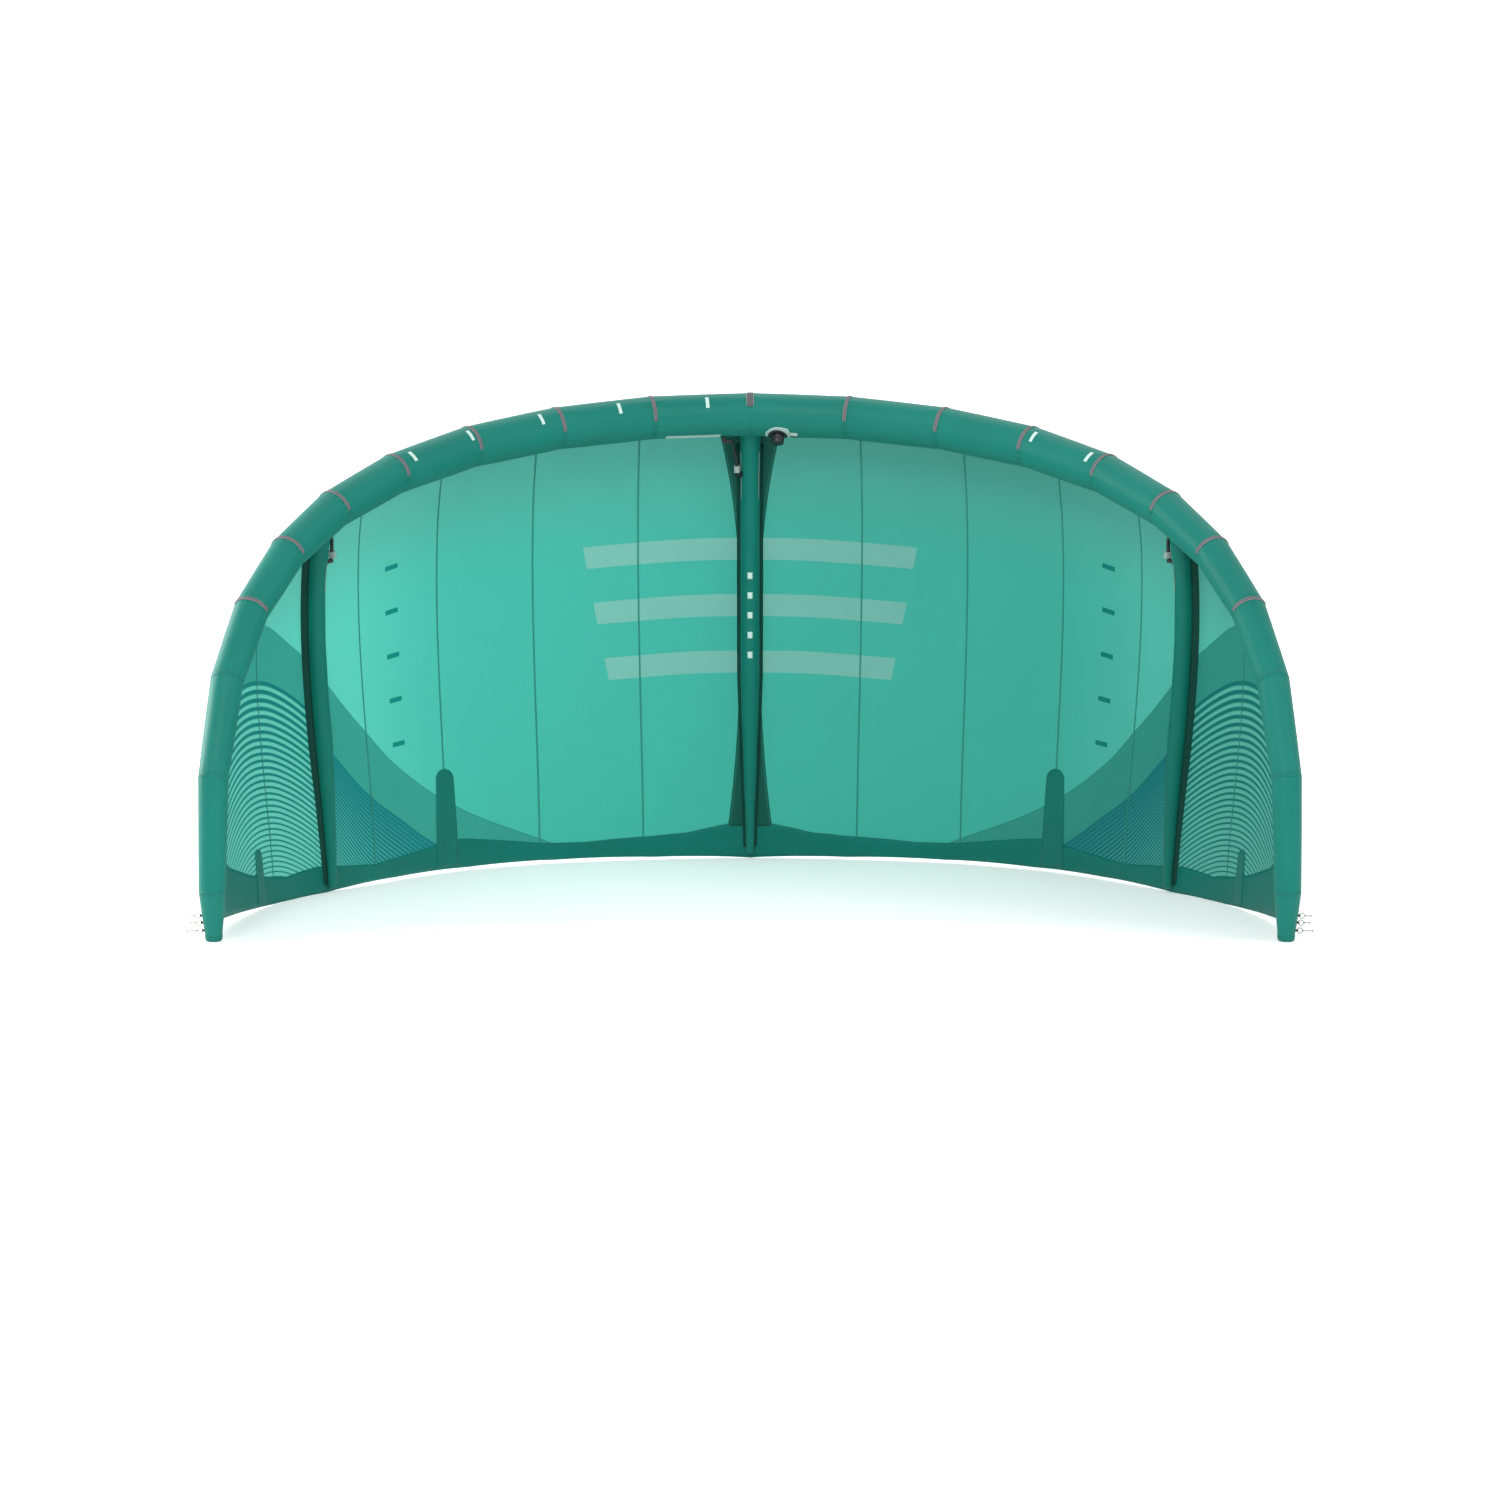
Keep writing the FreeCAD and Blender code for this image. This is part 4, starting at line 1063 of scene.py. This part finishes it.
# %% The canopy's sheet
half_spans = [0.0]
for low, high in zip(SEAM_PLACES[:-1], np.minimum(SEAM_PLACES[1:], CANOPY_END)):
    count = max(10, int(round((high - low) * HALF_TUBE / 0.020)))
    half_spans += list(low + (high - low) * np.arange(1, count + 1) / count)
chord_shares = np.concatenate([np.linspace(0, 0.2, 17), np.linspace(0.2, 1.0, 56)[1:]])
canopy_rows, cloth_map, layout_map = [], [], []
for side, s in tip_to_tip(half_spans):
    canopy_rows.append(stand(canopy_points(s, chord_shares), side))
    chord = chord_at(s)
    cloth_map.append(
        np.stack([np.full(len(chord_shares), side * s * HALF_TUBE), chord_shares * chord], axis=-1)
    )
    layout_map.append(np.stack([np.full(len(chord_shares), side * s), chord_shares], axis=-1))
canopy_spots = np.array(canopy_rows)
canopy_mesh = grid_mesh(
    "canopy_sheet", canopy_spots, {"cloth": np.array(cloth_map), "layout": np.array(layout_map)}
)
ripstop = cloth_finish(
    "canopy_ripstop", rgb(58, 160, 144), pitch=0.0085, crease=1.6, unevenness=0.06, stretch=0.5,
    roughness=0.5, bump=0.16, grid_shade=0.20, through=0.31, paint=canopy_paint
)
canopy = link("canopy_sheet", canopy_mesh, ripstop)
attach(canopy, "kite")
canopy_nodes = [f"canopy_{n}_{side}" for n in range(1, 8) for side in ("left", "right")]
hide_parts(*canopy_nodes)

# %% [markdown]
# Narrow darker seams run fore and aft between the canopy's panels, each with two rows of
# stitches. The trailing edge carries a band of heavier cloth that grows tall towards the
# wingtips, with a rolled hem along its lower edge.

# %% Canopy seams


def canopy_strip(places, shares, low, high, side):
    """A closed strip of cloth on the canopy, between two distances from it."""
    middle = sum(places) / len(places)
    run = np.asarray(shares) * chord_at(middle)
    across = (np.array(places) - middle) * HALF_TUBE
    under, over = [laid(canopy_points, places, shares, lift, side) for lift in (low, high)]
    return shell_mesh("strip", under, over, {"cloth": cloth_grid(across, run)[..., ::-1]})


seam_strips = []
seam_shares = np.linspace(0.004, 0.998, 60)
for side in (1, -1):
    for place_of_seam in SEAM_PLACES[1:-1]:
        reach = 0.0026 / HALF_TUBE
        places = [place_of_seam + reach * t for t in (-1.0, -0.4, 0.4, 1.0)]
        for low, high in ((-0.0011, -0.0003), (0.0003, 0.0011)):
            seam_strips.append(canopy_strip(places, seam_shares, low, high, side))
seam_finish = cloth_finish(
    "canopy_seam", rgb(34, 140, 124), pitch=0.004, crease=6.0, unevenness=0.16, bump=0.3,
    stitches=0.0014, thread=rgb(70, 160, 144), through=0.2
)
canopy_seams = dressed("canopy_seams", seam_strips, seam_finish, "reinforcing_dacron")

# %% Trailing band and its rolled hem
BAND_END = 0.997


def band_start(s):
    return max(0.02, 1 - float(np.interp(s, BAND_PLACES, BAND_HEIGHTS)) / chord_at(s))


band_rows_under, band_rows_over, band_map = [], [], []
for side, s in tip_to_tip(half_spans):
    shares = band_start(s) + (BAND_END - band_start(s)) * np.linspace(0, 1, 10)
    depth = np.full(10, -0.0023)
    depth[0] = -0.0016
    band_rows_under.append(stand(canopy_points(s, shares, -0.0013), side))
    band_rows_over.append(stand(canopy_points(s, shares, depth), side))
    run = (shares - shares[0]) * chord_at(s)
    band_map.append(np.stack([np.full(10, side * s * HALF_TUBE), run - 0.008], axis=-1))
band_mesh = shell_mesh(
    "trailing_band", np.array(band_rows_under), np.array(band_rows_over),
    {"cloth": np.array(band_map)}
)
heavy = cloth_finish(
    "reinforcing_cloth", rgb(2, 116, 104), pitch=0.007, crease=3.0, unevenness=0.20, stretch=1.5,
    roughness=0.55, bump=0.28, grid_shade=0.10, stitches=0.004, thread=rgb(24, 128, 114),
    through=0.12
)
trailing_band = dressed(
    "trailing_band", band_mesh, heavy, "reinforcing_dacron", "trailing_band_left",
    "trailing_band_right"
)

HEM_SHARE = 0.9975
hem_path = [on_canopy(s, HEM_SHARE, 0.0, side) for side, s in tip_to_tip(half_spans)]
hem_lines = [round_line_mesh("hem", hem_path, 0.0024, 8)]
for side in (1, -1):
    edge = [on_canopy(CANOPY_END, u, -0.001, side) for u in np.linspace(0.0, HEM_SHARE, 30)]
    hem_lines.append(round_line_mesh("hem", edge, 0.0022, 8))
trailing_hem = dressed("trailing_hem", hem_lines, heavy, "reinforcing_dacron")
print("trailing band rows:", len(band_map))

# %% [markdown]
# Four pockets hold glass-fibre battens that stop the trailing edge from fluttering: a
# long one near each quarter and a short one at each wingtip. Each pocket is a strip with
# a rounded top, pulled into a low dome by the batten inside.

# %% Batten pockets
FOOT_GAP = 0.012
POCKET_MARGIN = 0.012
LONG_BATTEN = (SEAM_PLACES[3], 0.385, 0.046)
TIP_BATTEN = (SEAM_PLACES[6] + 0.032, 0.205, 0.026)


def batten_mesh(middle, length, width, side):
    """The flat rod in its pocket, bent with the canopy, with a rounded front end."""
    half = width / 2
    straight = length - half
    rounded = length - half * (1 - np.sin(np.linspace(0.1, 1.5, 8)))
    rows = []
    for height in np.concatenate([np.linspace(FOOT_GAP, straight, 24), rounded]):
        wide = math.sqrt(max(half**2 - max(0.0, height - straight) ** 2, 1e-6))
        row = []
        for t in np.linspace(-1, 1, 7):
            s = middle + wide * t / HALF_TUBE
            share = 1 - height / chord_at(s)
            crown = -0.0036 - 0.0010 * (1 - t * t)
            row.append(
                (
                    on_canopy(s, share, -0.0029, side), on_canopy(s, share, crown, side),
                    (height, wide * t)
                )
            )
        rows.append(row)
    return cloth_shell("batten", rows)


def pocket_mesh(middle, length, width, side):
    """The pocket's cover, wider at its foot, with a rounded top and a dome over the batten."""
    top_width, foot_width = 1.13 * (width / 2 + POCKET_MARGIN), 1.48 * (width / 2 + POCKET_MARGIN)
    total = length + POCKET_MARGIN
    straight = total - top_width
    rounded = straight + top_width * np.sin(np.linspace(0.08, 1.52, 12))
    rows = []
    for height in np.concatenate([np.linspace(FOOT_GAP, straight, 26), rounded]):
        beyond = max(0.0, height - straight)
        wide = foot_width + (top_width - foot_width) * min(1.0, height / straight)
        wide = max(0.0015, wide * math.sqrt(max(1 - (beyond / top_width) ** 2, 0.0)))
        row = []
        for t in np.linspace(-1, 1, 15):
            s = middle + wide * t / HALF_TUBE
            share = 1 - height / chord_at(s)
            dome = 0.0026 * max(0.0, 1 - abs(t) ** 2.6) ** 0.5 * min(
                1.0, (total - height) / 0.02 + 0.15
            )
            row.append(
                (
                    on_canopy(s, share, -0.0026, side), on_canopy(s, share, -0.0033 - dome, side),
                    (height, wide * t)
                )
            )
        rows.append(row)
    return cloth_shell("pocket", rows)


pocket_finish = cloth_finish(
    "batten_pocket", rgb(1, 108, 96), crease=6.0, unevenness=0.2, roughness=0.5, bump=0.3,
    stitches=0.0345, thread=rgb(16, 118, 105)
)
tip_pocket_finish = cloth_finish(
    "tip_batten_pocket", rgb(1, 108, 96), crease=6.0, unevenness=0.2, roughness=0.5, bump=0.3,
    stitches=0.0225, thread=rgb(16, 118, 105)
)
batten_glassfibre = plastic_finish(
    "batten_glassfibre", rgb(196, 206, 190), grain=700.0, scuffs=0.1, bump=0.2, coat=0.4
)
rods = {"": [], "tip_": []}
for prefix, batten, finish in (
    ("", LONG_BATTEN, pocket_finish), ("tip_", TIP_BATTEN, tip_pocket_finish)
):
    for side, side_name in HALVES:
        pocket = dressed(
            f"{prefix}pocket_cover_{side_name}", pocket_mesh(*batten, side), finish,
            "reinforcing_dacron", f"{prefix}batten_pocket_{side_name}"
        )
        rods[prefix].append(batten_mesh(*batten, side))
for prefix, meshes in rods.items():
    dressed(
        f"{prefix}batten_rods", meshes, batten_glassfibre, "batten_glassfibre", f"{prefix}battens"
    )

# %% [markdown]
# Dark gussets spread the centre strut's load: a pair at the leading edge that narrows to
# the strut, and a pair at the trailing edge that widens again.

# %% Gussets beside the centre strut
GUSSET_START = 0.020


def gusset_mesh(outline, side):
    """One gusset inside an outline of (half width, distance back) in millimetres."""
    edge = np.array(outline) / 1000.0
    bend = np.polyfit(edge[:, 1], edge[:, 0], 2)
    rows = []
    for y in np.linspace(edge[0, 1], edge[-1, 1], 40):
        wide = float(np.polyval(bend, y))
        row = []
        for x in np.linspace(GUSSET_START, wide, 12):
            s = x / HALF_TUBE
            front, back = front_edge(s)[1], trailing_edge(s)[1]
            share = float(np.clip((y - front) / (back - front), 0.0, 0.995))
            top = -0.0016 - (0.0007 if x < wide - 1e-6 else 0.0)
            row.append(
                (
                    on_canopy(s, share, -0.0013, side), on_canopy(s, share, top, side),
                    (y, x - wide + 0.006)
                )
            )
        rows.append(row)
    return cloth_shell("gusset", rows)


gusset_finish = cloth_finish(
    "strut_gusset", rgb(4, 82, 70), unevenness=0.22, roughness=0.6, bump=0.3, stitches=0.0015,
    thread=rgb(40, 120, 106), grid_shade=0.10
)
gussets = []
for outline in ([(112, 62), (67, 310), (38, 700)], [(36, 930), (47, 1280), (80, 1640)]):
    gussets += [gusset_mesh(outline, side) for side in (1, -1)]
strut_gussets = dressed(
    "strut_gussets", gussets, gusset_finish, "reinforcing_dacron", "strut_flares"
)

# %% [markdown]
# ## The struts
# Three inflated struts run from the tube to the trailing edge. Each is a long sleeve
# with a seam on both sides, where it is sewn to the canopy, and its rear end tapers to a
# rounded tip. Grey piping marks the front part of each seam.

# %% Strut sleeves
CENTRE_STRUT_RADII = (0.039, 0.035, 0.013)
SIDE_STRUT_RADII = (0.037, 0.033, 0.016)
STRUT_TAPER = 0.58
STRUT_END = 0.985
SLEEVE_SEAM = 112.0


def strut_radius(u, radii):
    front, middle, end = radii
    if u < 0.13:
        return front + (middle - front) * max(u, 0.0) / 0.13
    if u < STRUT_TAPER:
        return middle
    return middle + (end - middle) * (u - STRUT_TAPER) / (1 - STRUT_TAPER)


def plain_canopy_point(s, u, off):
    """The canopy without its billow, which the struts hold flat."""
    front, back = front_edge(s), trailing_edge(s)
    rise = camber_rise(float(np.linalg.norm(back - front)), u)
    return front + (back - front) * u + outward(s) * (rise + off)


def strut_frame(s, u, radii):
    def axis(v):
        return plain_canopy_point(s, v, -(strut_radius(v, radii) * 1.012 + 0.0026))
    side = np.array([outward(s)[2], 0.0, -outward(s)[0]])
    way = axis(u + 0.01) - axis(u - 0.01)
    way /= np.linalg.norm(way)
    up = np.cross(side, way)
    return axis(u), side, up / np.linalg.norm(up)


def strut_point(s, u, radii, angle, lift=0.0):
    """angle 0 faces the hollow side, 90 towards the tip."""
    centre, side, up = strut_frame(s, u, radii)
    a = math.radians(angle)
    return centre + (side * math.sin(a) - up * math.cos(a)) * (strut_radius(u, radii) + lift)


def strut_mesh(name, s, radii, side):
    turns = 64
    angles = np.arange(turns) * 360.0 / turns
    shares = list(np.linspace(-0.02, 0.20, 28)) + list(np.linspace(0.21, 0.965, 70))
    shares += [STRUT_END - 0.012 * (1 - math.sin(t)) for t in np.linspace(0.2, math.pi / 2, 8)]
    a = np.radians(angles)[:, None]
    rows, lengths = [], []
    for u in shares:
        centre, across, up = strut_frame(s, u, radii)
        round_end = 1.0
        if u >= STRUT_END - 0.0105:
            round_end = math.sqrt(max(0.0, 1 - ((u - STRUT_END + 0.0105) / 0.0106) ** 2))
        ripple = 0.0007 * math.sin(u * 95) * math.exp(-(((u - 0.06) / 0.08) ** 2))
        ripple += 0.0004 * math.sin(u * 41 + s * 9)
        from_seam = np.minimum(np.abs(np.abs(((angles + 180) % 360) - 180) - SLEEVE_SEAM), 60.0)
        pinch = -0.0012 * np.exp(-((from_seam / 4.0) ** 2))
        reach = (strut_radius(u, radii) + ripple + pinch)[:, None] * round_end
        rows.append(stand(centre + (across * np.sin(a) - up * np.cos(a)) * reach, side))
        lengths.append(u * chord_at(s))
    rows.append(np.repeat(rows[-1].mean(axis=0)[None, :], turns, axis=0))
    lengths.append(lengths[-1] + 0.002)
    around = np.arange(turns + 1) / turns * 2 * math.pi * radii[1]
    cloth = cloth_grid(np.array(lengths), around)
    return face_outward(grid_mesh(name, np.array(rows), {"cloth": cloth}, wrapped=True))


centre_strut_cloth = cloth_finish(
    "centre_strut_cloth", rgb(2, 112, 99), crease=4.5, unevenness=0.16, stretch=2.0, roughness=0.5,
    grid_shade=0.06
)
side_strut_cloth = cloth_finish(
    "side_strut_cloth", rgb(1, 108, 94), crease=4.5, unevenness=0.16, stretch=2.0, roughness=0.5,
    grid_shade=0.06
)
dressed(
    "centre_strut_sleeve", strut_mesh("centre_strut_sleeve", 0.0, CENTRE_STRUT_RADII, 1),
    centre_strut_cloth, "strut_dacron", "centre_strut"
)
for side, side_name in HALVES:
    dressed(
        f"side_strut_sleeve_{side_name}", strut_mesh("sleeve", STRUT_PLACE, SIDE_STRUT_RADII, side),
        side_strut_cloth, "strut_dacron", f"side_strut_{side_name}"
    )

# %% Wings of cloth that join each strut to the canopy


def strut_wing(s, radii, turn, side):
    """A strip from the sleeve's seam out on to the canopy, on one side of the strut."""
    rows = []
    for u in np.linspace(0.05, 0.972, 70):
        seam_point = strut_point(s, u, radii, turn * SLEEVE_SEAM, 0.0004)
        wide = strut_radius(u, radii) * 1.02 + 0.010
        place_out = abs(s + turn * wide / HALF_TUBE) if s > 0 else wide / HALF_TUBE
        outer = canopy_points(place_out, [u], -0.0015)[0]
        if s == 0 and turn < 0:
            outer = outer * np.array([-1.0, 1.0, 1.0])
        thickness = outward(s) * -0.0009
        middle = (seam_point + outer) / 2 + outward(s) * 0.0035
        curve = [seam_point, seam_point * 0.45 + middle * 0.55, middle * 0.6 + outer * 0.4, outer]
        rows.append([(stand(p, side), stand(p + thickness, side), (u * chord_at(s), w))
                     for p, w in zip(curve, (-0.006, -0.002, 0.002, 0.006))])
    return cloth_shell("wing", rows)


wings = [strut_wing(0.0, CENTRE_STRUT_RADII, turn, 1) for turn in (1, -1)]
wings += [
    strut_wing(STRUT_PLACE, SIDE_STRUT_RADII, turn, side) for turn in (1, -1) for side in (1, -1)
]
# The wings are real strips of cloth, but their near-black colour is painted shadow: the dark line
# of shade where each strut meets the canopy.
wing_shadow_finish = cloth_finish(
    "strut_wing", rgb(1, 62, 52), crease=5.0, unevenness=0.2, roughness=0.6, bump=0.3,
    grid_shade=0.05
)
dressed("strut_wings", wings, wing_shadow_finish, "strut_dacron")

# %% Grey piping on the struts and along the tips
piping_finish = cloth_finish(
    "grey_piping", rgb(112, 134, 130), pitch=0.0012, crease=40.0, unevenness=0.25, roughness=0.6,
    bump=0.5, grid_shade=0.4
)
pipings = []
for turn in (1, -1):
    path = [
        stand(strut_point(0.0, u, CENTRE_STRUT_RADII, turn * 63.0, 0.0008))
        for u in np.linspace(0.055, 0.165, 30)
    ]
    pipings.append(round_line_mesh("piping", path, 0.0018, 8))
for side in (1, -1):
    path = [
        stand(strut_point(STRUT_PLACE, u, SIDE_STRUT_RADII, -12.0, 0.0008), side)
        for u in np.linspace(0.075, 0.16, 24)
    ]
    pipings.append(round_line_mesh("piping", path, 0.0018, 8))
    path = [stand(tube_points(s, 47.0, 0.0022)[0], side) for s in np.linspace(0.905, 0.985, 40)]
    pipings.append(round_line_mesh("piping", path, 0.0022, 8))
dressed("grey_piping", pipings, piping_finish, "dark_webbing")

# %% Plain pale dashes down the centre strut
dash_finish = cloth_finish(
    "pale_print", rgb(196, 222, 214), crease=8.0, unevenness=0.1, roughness=0.5, bump=0.2,
    grid_shade=0.1
)
dashes = []
for middle in (0.338, 0.383, 0.428, 0.473, 0.518):
    reach = 0.0125 / chord_at(0.0)
    shares = np.linspace(middle - reach, middle + reach, 8)
    turns = np.linspace(-15.0, 15.0, 9)
    under, over = [
        np.array(
            [
                [stand(strut_point(0.0, u, CENTRE_STRUT_RADII, a, lift)) for a in turns]
                for u in shares
            ]
        )
        for lift in (0.0002, 0.0006)
    ]
    cloth = cloth_grid(shares * chord_at(0.0), (turns * 0.0006))
    dashes.append(shell_mesh("dash", under, over, {"cloth": cloth}))
dressed("strut_dashes", dashes, dash_finish, "strut_dacron")

# %% [markdown]
# ## Guards, label and valve patch
# A webbing guard is sewn over each of the inner seams, where the kite rubs on sand. It
# is a low pad with rounded ends; the centre one is wider and has a lighter binding. The
# label is a plain pale strip, left blank.

# %% Seam guards
GUARD_RADIUS = 0.075
GUARD_PROFILE = (
    (-1.0, 0.35), (-0.82, 0.85), (-0.6, 1.0), (0.0, 1.0), (0.6, 1.0), (0.82, 0.85), (1.0, 0.35)
)


def guard_mesh(centre, half_width, angles, low, high, side):
    """A pill-shaped pad on the tube between two angles."""
    first, last = angles
    end_angle = math.degrees(half_width / GUARD_RADIUS)
    rows = []
    for sweep in np.linspace(0.02, math.pi - 0.02, 60):
        turn = first + (last - first) * 0.5 * (1 - np.cos(sweep))
        near = min(1.0, min(turn - first, last - turn) / end_angle)
        wide = half_width * math.sqrt(max(0.02, 1 - (1 - near) ** 2))
        row = []
        for t, rise in GUARD_PROFILE:
            s = centre + wide * t / HALF_TUBE
            mirror = np.array([-1 if s < 0 else 1, 1, 1])
            top = low + (high - low) * rise * (0.6 + 0.4 * near)
            under, over = [
                stand(tube_points(abs(s), turn, lift)[0] * mirror, side) for lift in (low, top)
            ]
            row.append((under, over, (math.radians(turn) * GUARD_RADIUS, wide * t)))
        rows.append(row)
    return cloth_shell("guard", rows)


guard_finish = cloth_finish(
    "guard_webbing", rgb(104, 102, 105), pitch=0.0022, crease=30.0, unevenness=0.22, roughness=0.7,
    bump=0.5, stitches=0.0056, thread=rgb(168, 156, 160), grid_shade=0.35
)
centre_guard_finish = cloth_finish(
    "centre_guard_webbing", rgb(92, 96, 98), pitch=0.0022, crease=30.0, unevenness=0.22,
    roughness=0.7, bump=0.5, stitches=0.0128, thread=rgb(176, 190, 186), grid_shade=0.45
)
guards = [
    guard_mesh(RING_PLACES[k], 0.007, (112.0, 264.0), 0.0003, 0.0026, side) for k in range(1, 8)
    for side in (1, -1)
]
dressed("seam_pads", guards, guard_finish, "guard_webbing", "seam_guards")
dressed(
    "centre_seam_pad", guard_mesh(0.0, 0.015, (130.0, 233.0), 0.0003, 0.0023, 1),
    centre_guard_finish, "guard_webbing", "seam_guards"
)

# %% Plain pale marks on the leading edge
tube_marks = []
LEFT_MARKS, RIGHT_MARKS = (0.045, 0.139, 0.226, 0.310, 0.385), (0.315, 0.387)
for side, place_of_mark in [(-1, s) for s in LEFT_MARKS] + [(1, s) for s in RIGHT_MARKS]:
    turns = np.linspace(196.0, 232.0, 14)
    reach = 0.0065 / HALF_TUBE
    places = [place_of_mark + reach * t for t in (-1.0, -0.5, 0.5, 1.0)]
    tube_marks.append(tube_band(places, turns, 0.0002, 0.0013, side))
dressed("leading_edge_marks", tube_marks, dash_finish, "leading_edge_dacron")

# %% Blank label and valve patch
label_places = np.linspace(0.0315, 0.0893, 24)
label_turns = np.linspace(316.0, 343.0, 12)
from_end, from_side = [np.minimum(np.arange(n), np.arange(n)[::-1]) for n in (24, 12)]
rim = np.minimum(from_end[:, None], from_side[None, :])
label_lift = np.where(rim == 0, 0.0007, 0.0011)
under = laid(tube_points, label_places, label_turns, 0.0003, -1)
over = np.array(
    [stand(tube_points(s, label_turns, lift), -1) for s, lift in zip(label_places, label_lift)]
)
label_map = cloth_grid(label_places * HALF_TUBE, (np.radians(label_turns - 329.5) * 0.077))
pale_finish = cloth_finish(
    "pale_patch", rgb(168, 194, 188), pitch=0.003, crease=12.0, bump=0.3, stitches=0.0150,
    thread=rgb(120, 146, 142), grid_shade=0.12
)
dressed(
    "plain_label", shell_mesh("plain_label", under, over, {"cloth": label_map}), pale_finish,
    "pale_patch", "blank_label"
)

PATCH_RINGS = (
    (0.0205, 1.0), (0.028, 1.0), (0.036, 1.0), (0.043, 1.0), (0.0462, 0.95), (0.048, 0.35)
)
PATCH_ROUND = 0.04
patch_rows = []
for spoke in np.linspace(0, 2 * math.pi, 73):
    # the patch is round, with one square corner
    east, north = math.cos(spoke), math.sin(spoke)
    squareness = 1.0 / max(abs(east), abs(north)) if east > 0 > north else 1.0
    row = []
    for ring, rise in PATCH_RINGS:
        stretch = 1.0 if ring < PATCH_ROUND else 1 + 3.0 * (squareness - 1)
        grown = PATCH_ROUND + (ring - PATCH_ROUND) * stretch
        s = VALVE_PLACE + grown * east / HALF_TUBE
        turn = VALVE_ANGLE + math.degrees(grown * north / tube_radius(VALVE_PLACE))
        under, over = [
            stand(tube_points(s, turn, lift)[0]) for lift in (0.0003, 0.0003 + 0.0015 * rise)
        ]
        row.append((under, over, (spoke * 0.045, ring - 0.0275)))
    patch_rows.append(row)
dressed(
    "valve_patch_cloth", cloth_shell("valve_patch_cloth", patch_rows), pale_finish, "pale_patch",
    "valve_patch"
)

# %% [markdown]
# ## Valve, hoses and clips
# The moulded parts keep their CAD shapes, because those are right, and only get their
# finishes: black plastic for the valve and elbows, black rubber for the hoses, pale grey
# plastic for the pinch clips. The cap also gets two raised rings and fine ribs round its
# rim, and they ride on the cap's own body so that they open with it.

# %% Plastic, rubber, film and glass fibre
black_plastic = plastic_finish(
    "black_plastic", rgb(14, 24, 22), grain=1400.0, scuffs=1.2, bump=0.25
)
black_hose = plastic_finish("black_hose", rgb(12, 18, 18), grain=500.0, scuffs=0.8, bump=0.3)
grey_plastic = plastic_finish(
    "grey_plastic", rgb(150, 166, 162), grain=1100.0, scuffs=0.12, bump=0.2
)
bladder_film = cloth_finish(
    "bladder_film", rgb(206, 214, 210), pitch=0.05, crease=9.0, unevenness=0.08, roughness=0.3,
    bump=0.3, grid_shade=0.0
)


def dress(names, material):
    for name in names:
        node = kite_nodes[name]
        node.data.materials.clear()
        node.data.materials.append(material)


dress(
    ["valve_base", "valve_collar", "valve_flap", "valve_cap", "hose_elbows", "tip_plugs"],
    black_plastic
)
dress(["centre_hose", "side_hose_left", "side_hose_right"], black_hose)
dress(
    [
        "centre_clip", "side_clip_left", "side_clip_right", "centre_clip_lever",
        "side_clip_lever_left", "side_clip_lever_right"
    ],
    grey_plastic
)
dress(
    ["tube_bladder", "centre_strut_bladder", "side_strut_bladder_left", "side_strut_bladder_right"],
    bladder_film
)

# %% Details on the cap
BASE_HEIGHT, COLLAR_HEIGHT, CAP_HEIGHT, SEAT_GAP = 0.006, 0.014, 0.012, 0.0003
CAP_RADIUS = 0.0229
cap_foot = valve_seat + valve_square * (BASE_HEIGHT + SEAT_GAP + COLLAR_HEIGHT + SEAT_GAP)
cap_top = cap_foot + valve_square * CAP_HEIGHT


def cap_way(angle):
    return valve_along * math.cos(angle) + valve_across * math.sin(angle)


cap_details = []
for radius, thick in ((0.0145, 0.0009), (0.0075, 0.0007)):
    path = [stand(cap_top + cap_way(a) * radius) for a in np.linspace(0, 2 * math.pi, 61)]
    cap_details.append(round_line_mesh("cap_ring", path, thick, 8))
for spoke in np.arange(24) * math.pi / 12:
    way = cap_way(spoke)
    if way.dot(valve_across) > 0.93:
        continue
    path = [
        stand(cap_foot + way * CAP_RADIUS + valve_square * h) for h in (0.001, 0.003, 0.006, 0.0085)
    ]
    cap_details.append(round_line_mesh("cap_rib", path, 0.0006, 6))
dressed("cap_ribs", cap_details, black_plastic, "black_plastic", body="valve_cap_body")
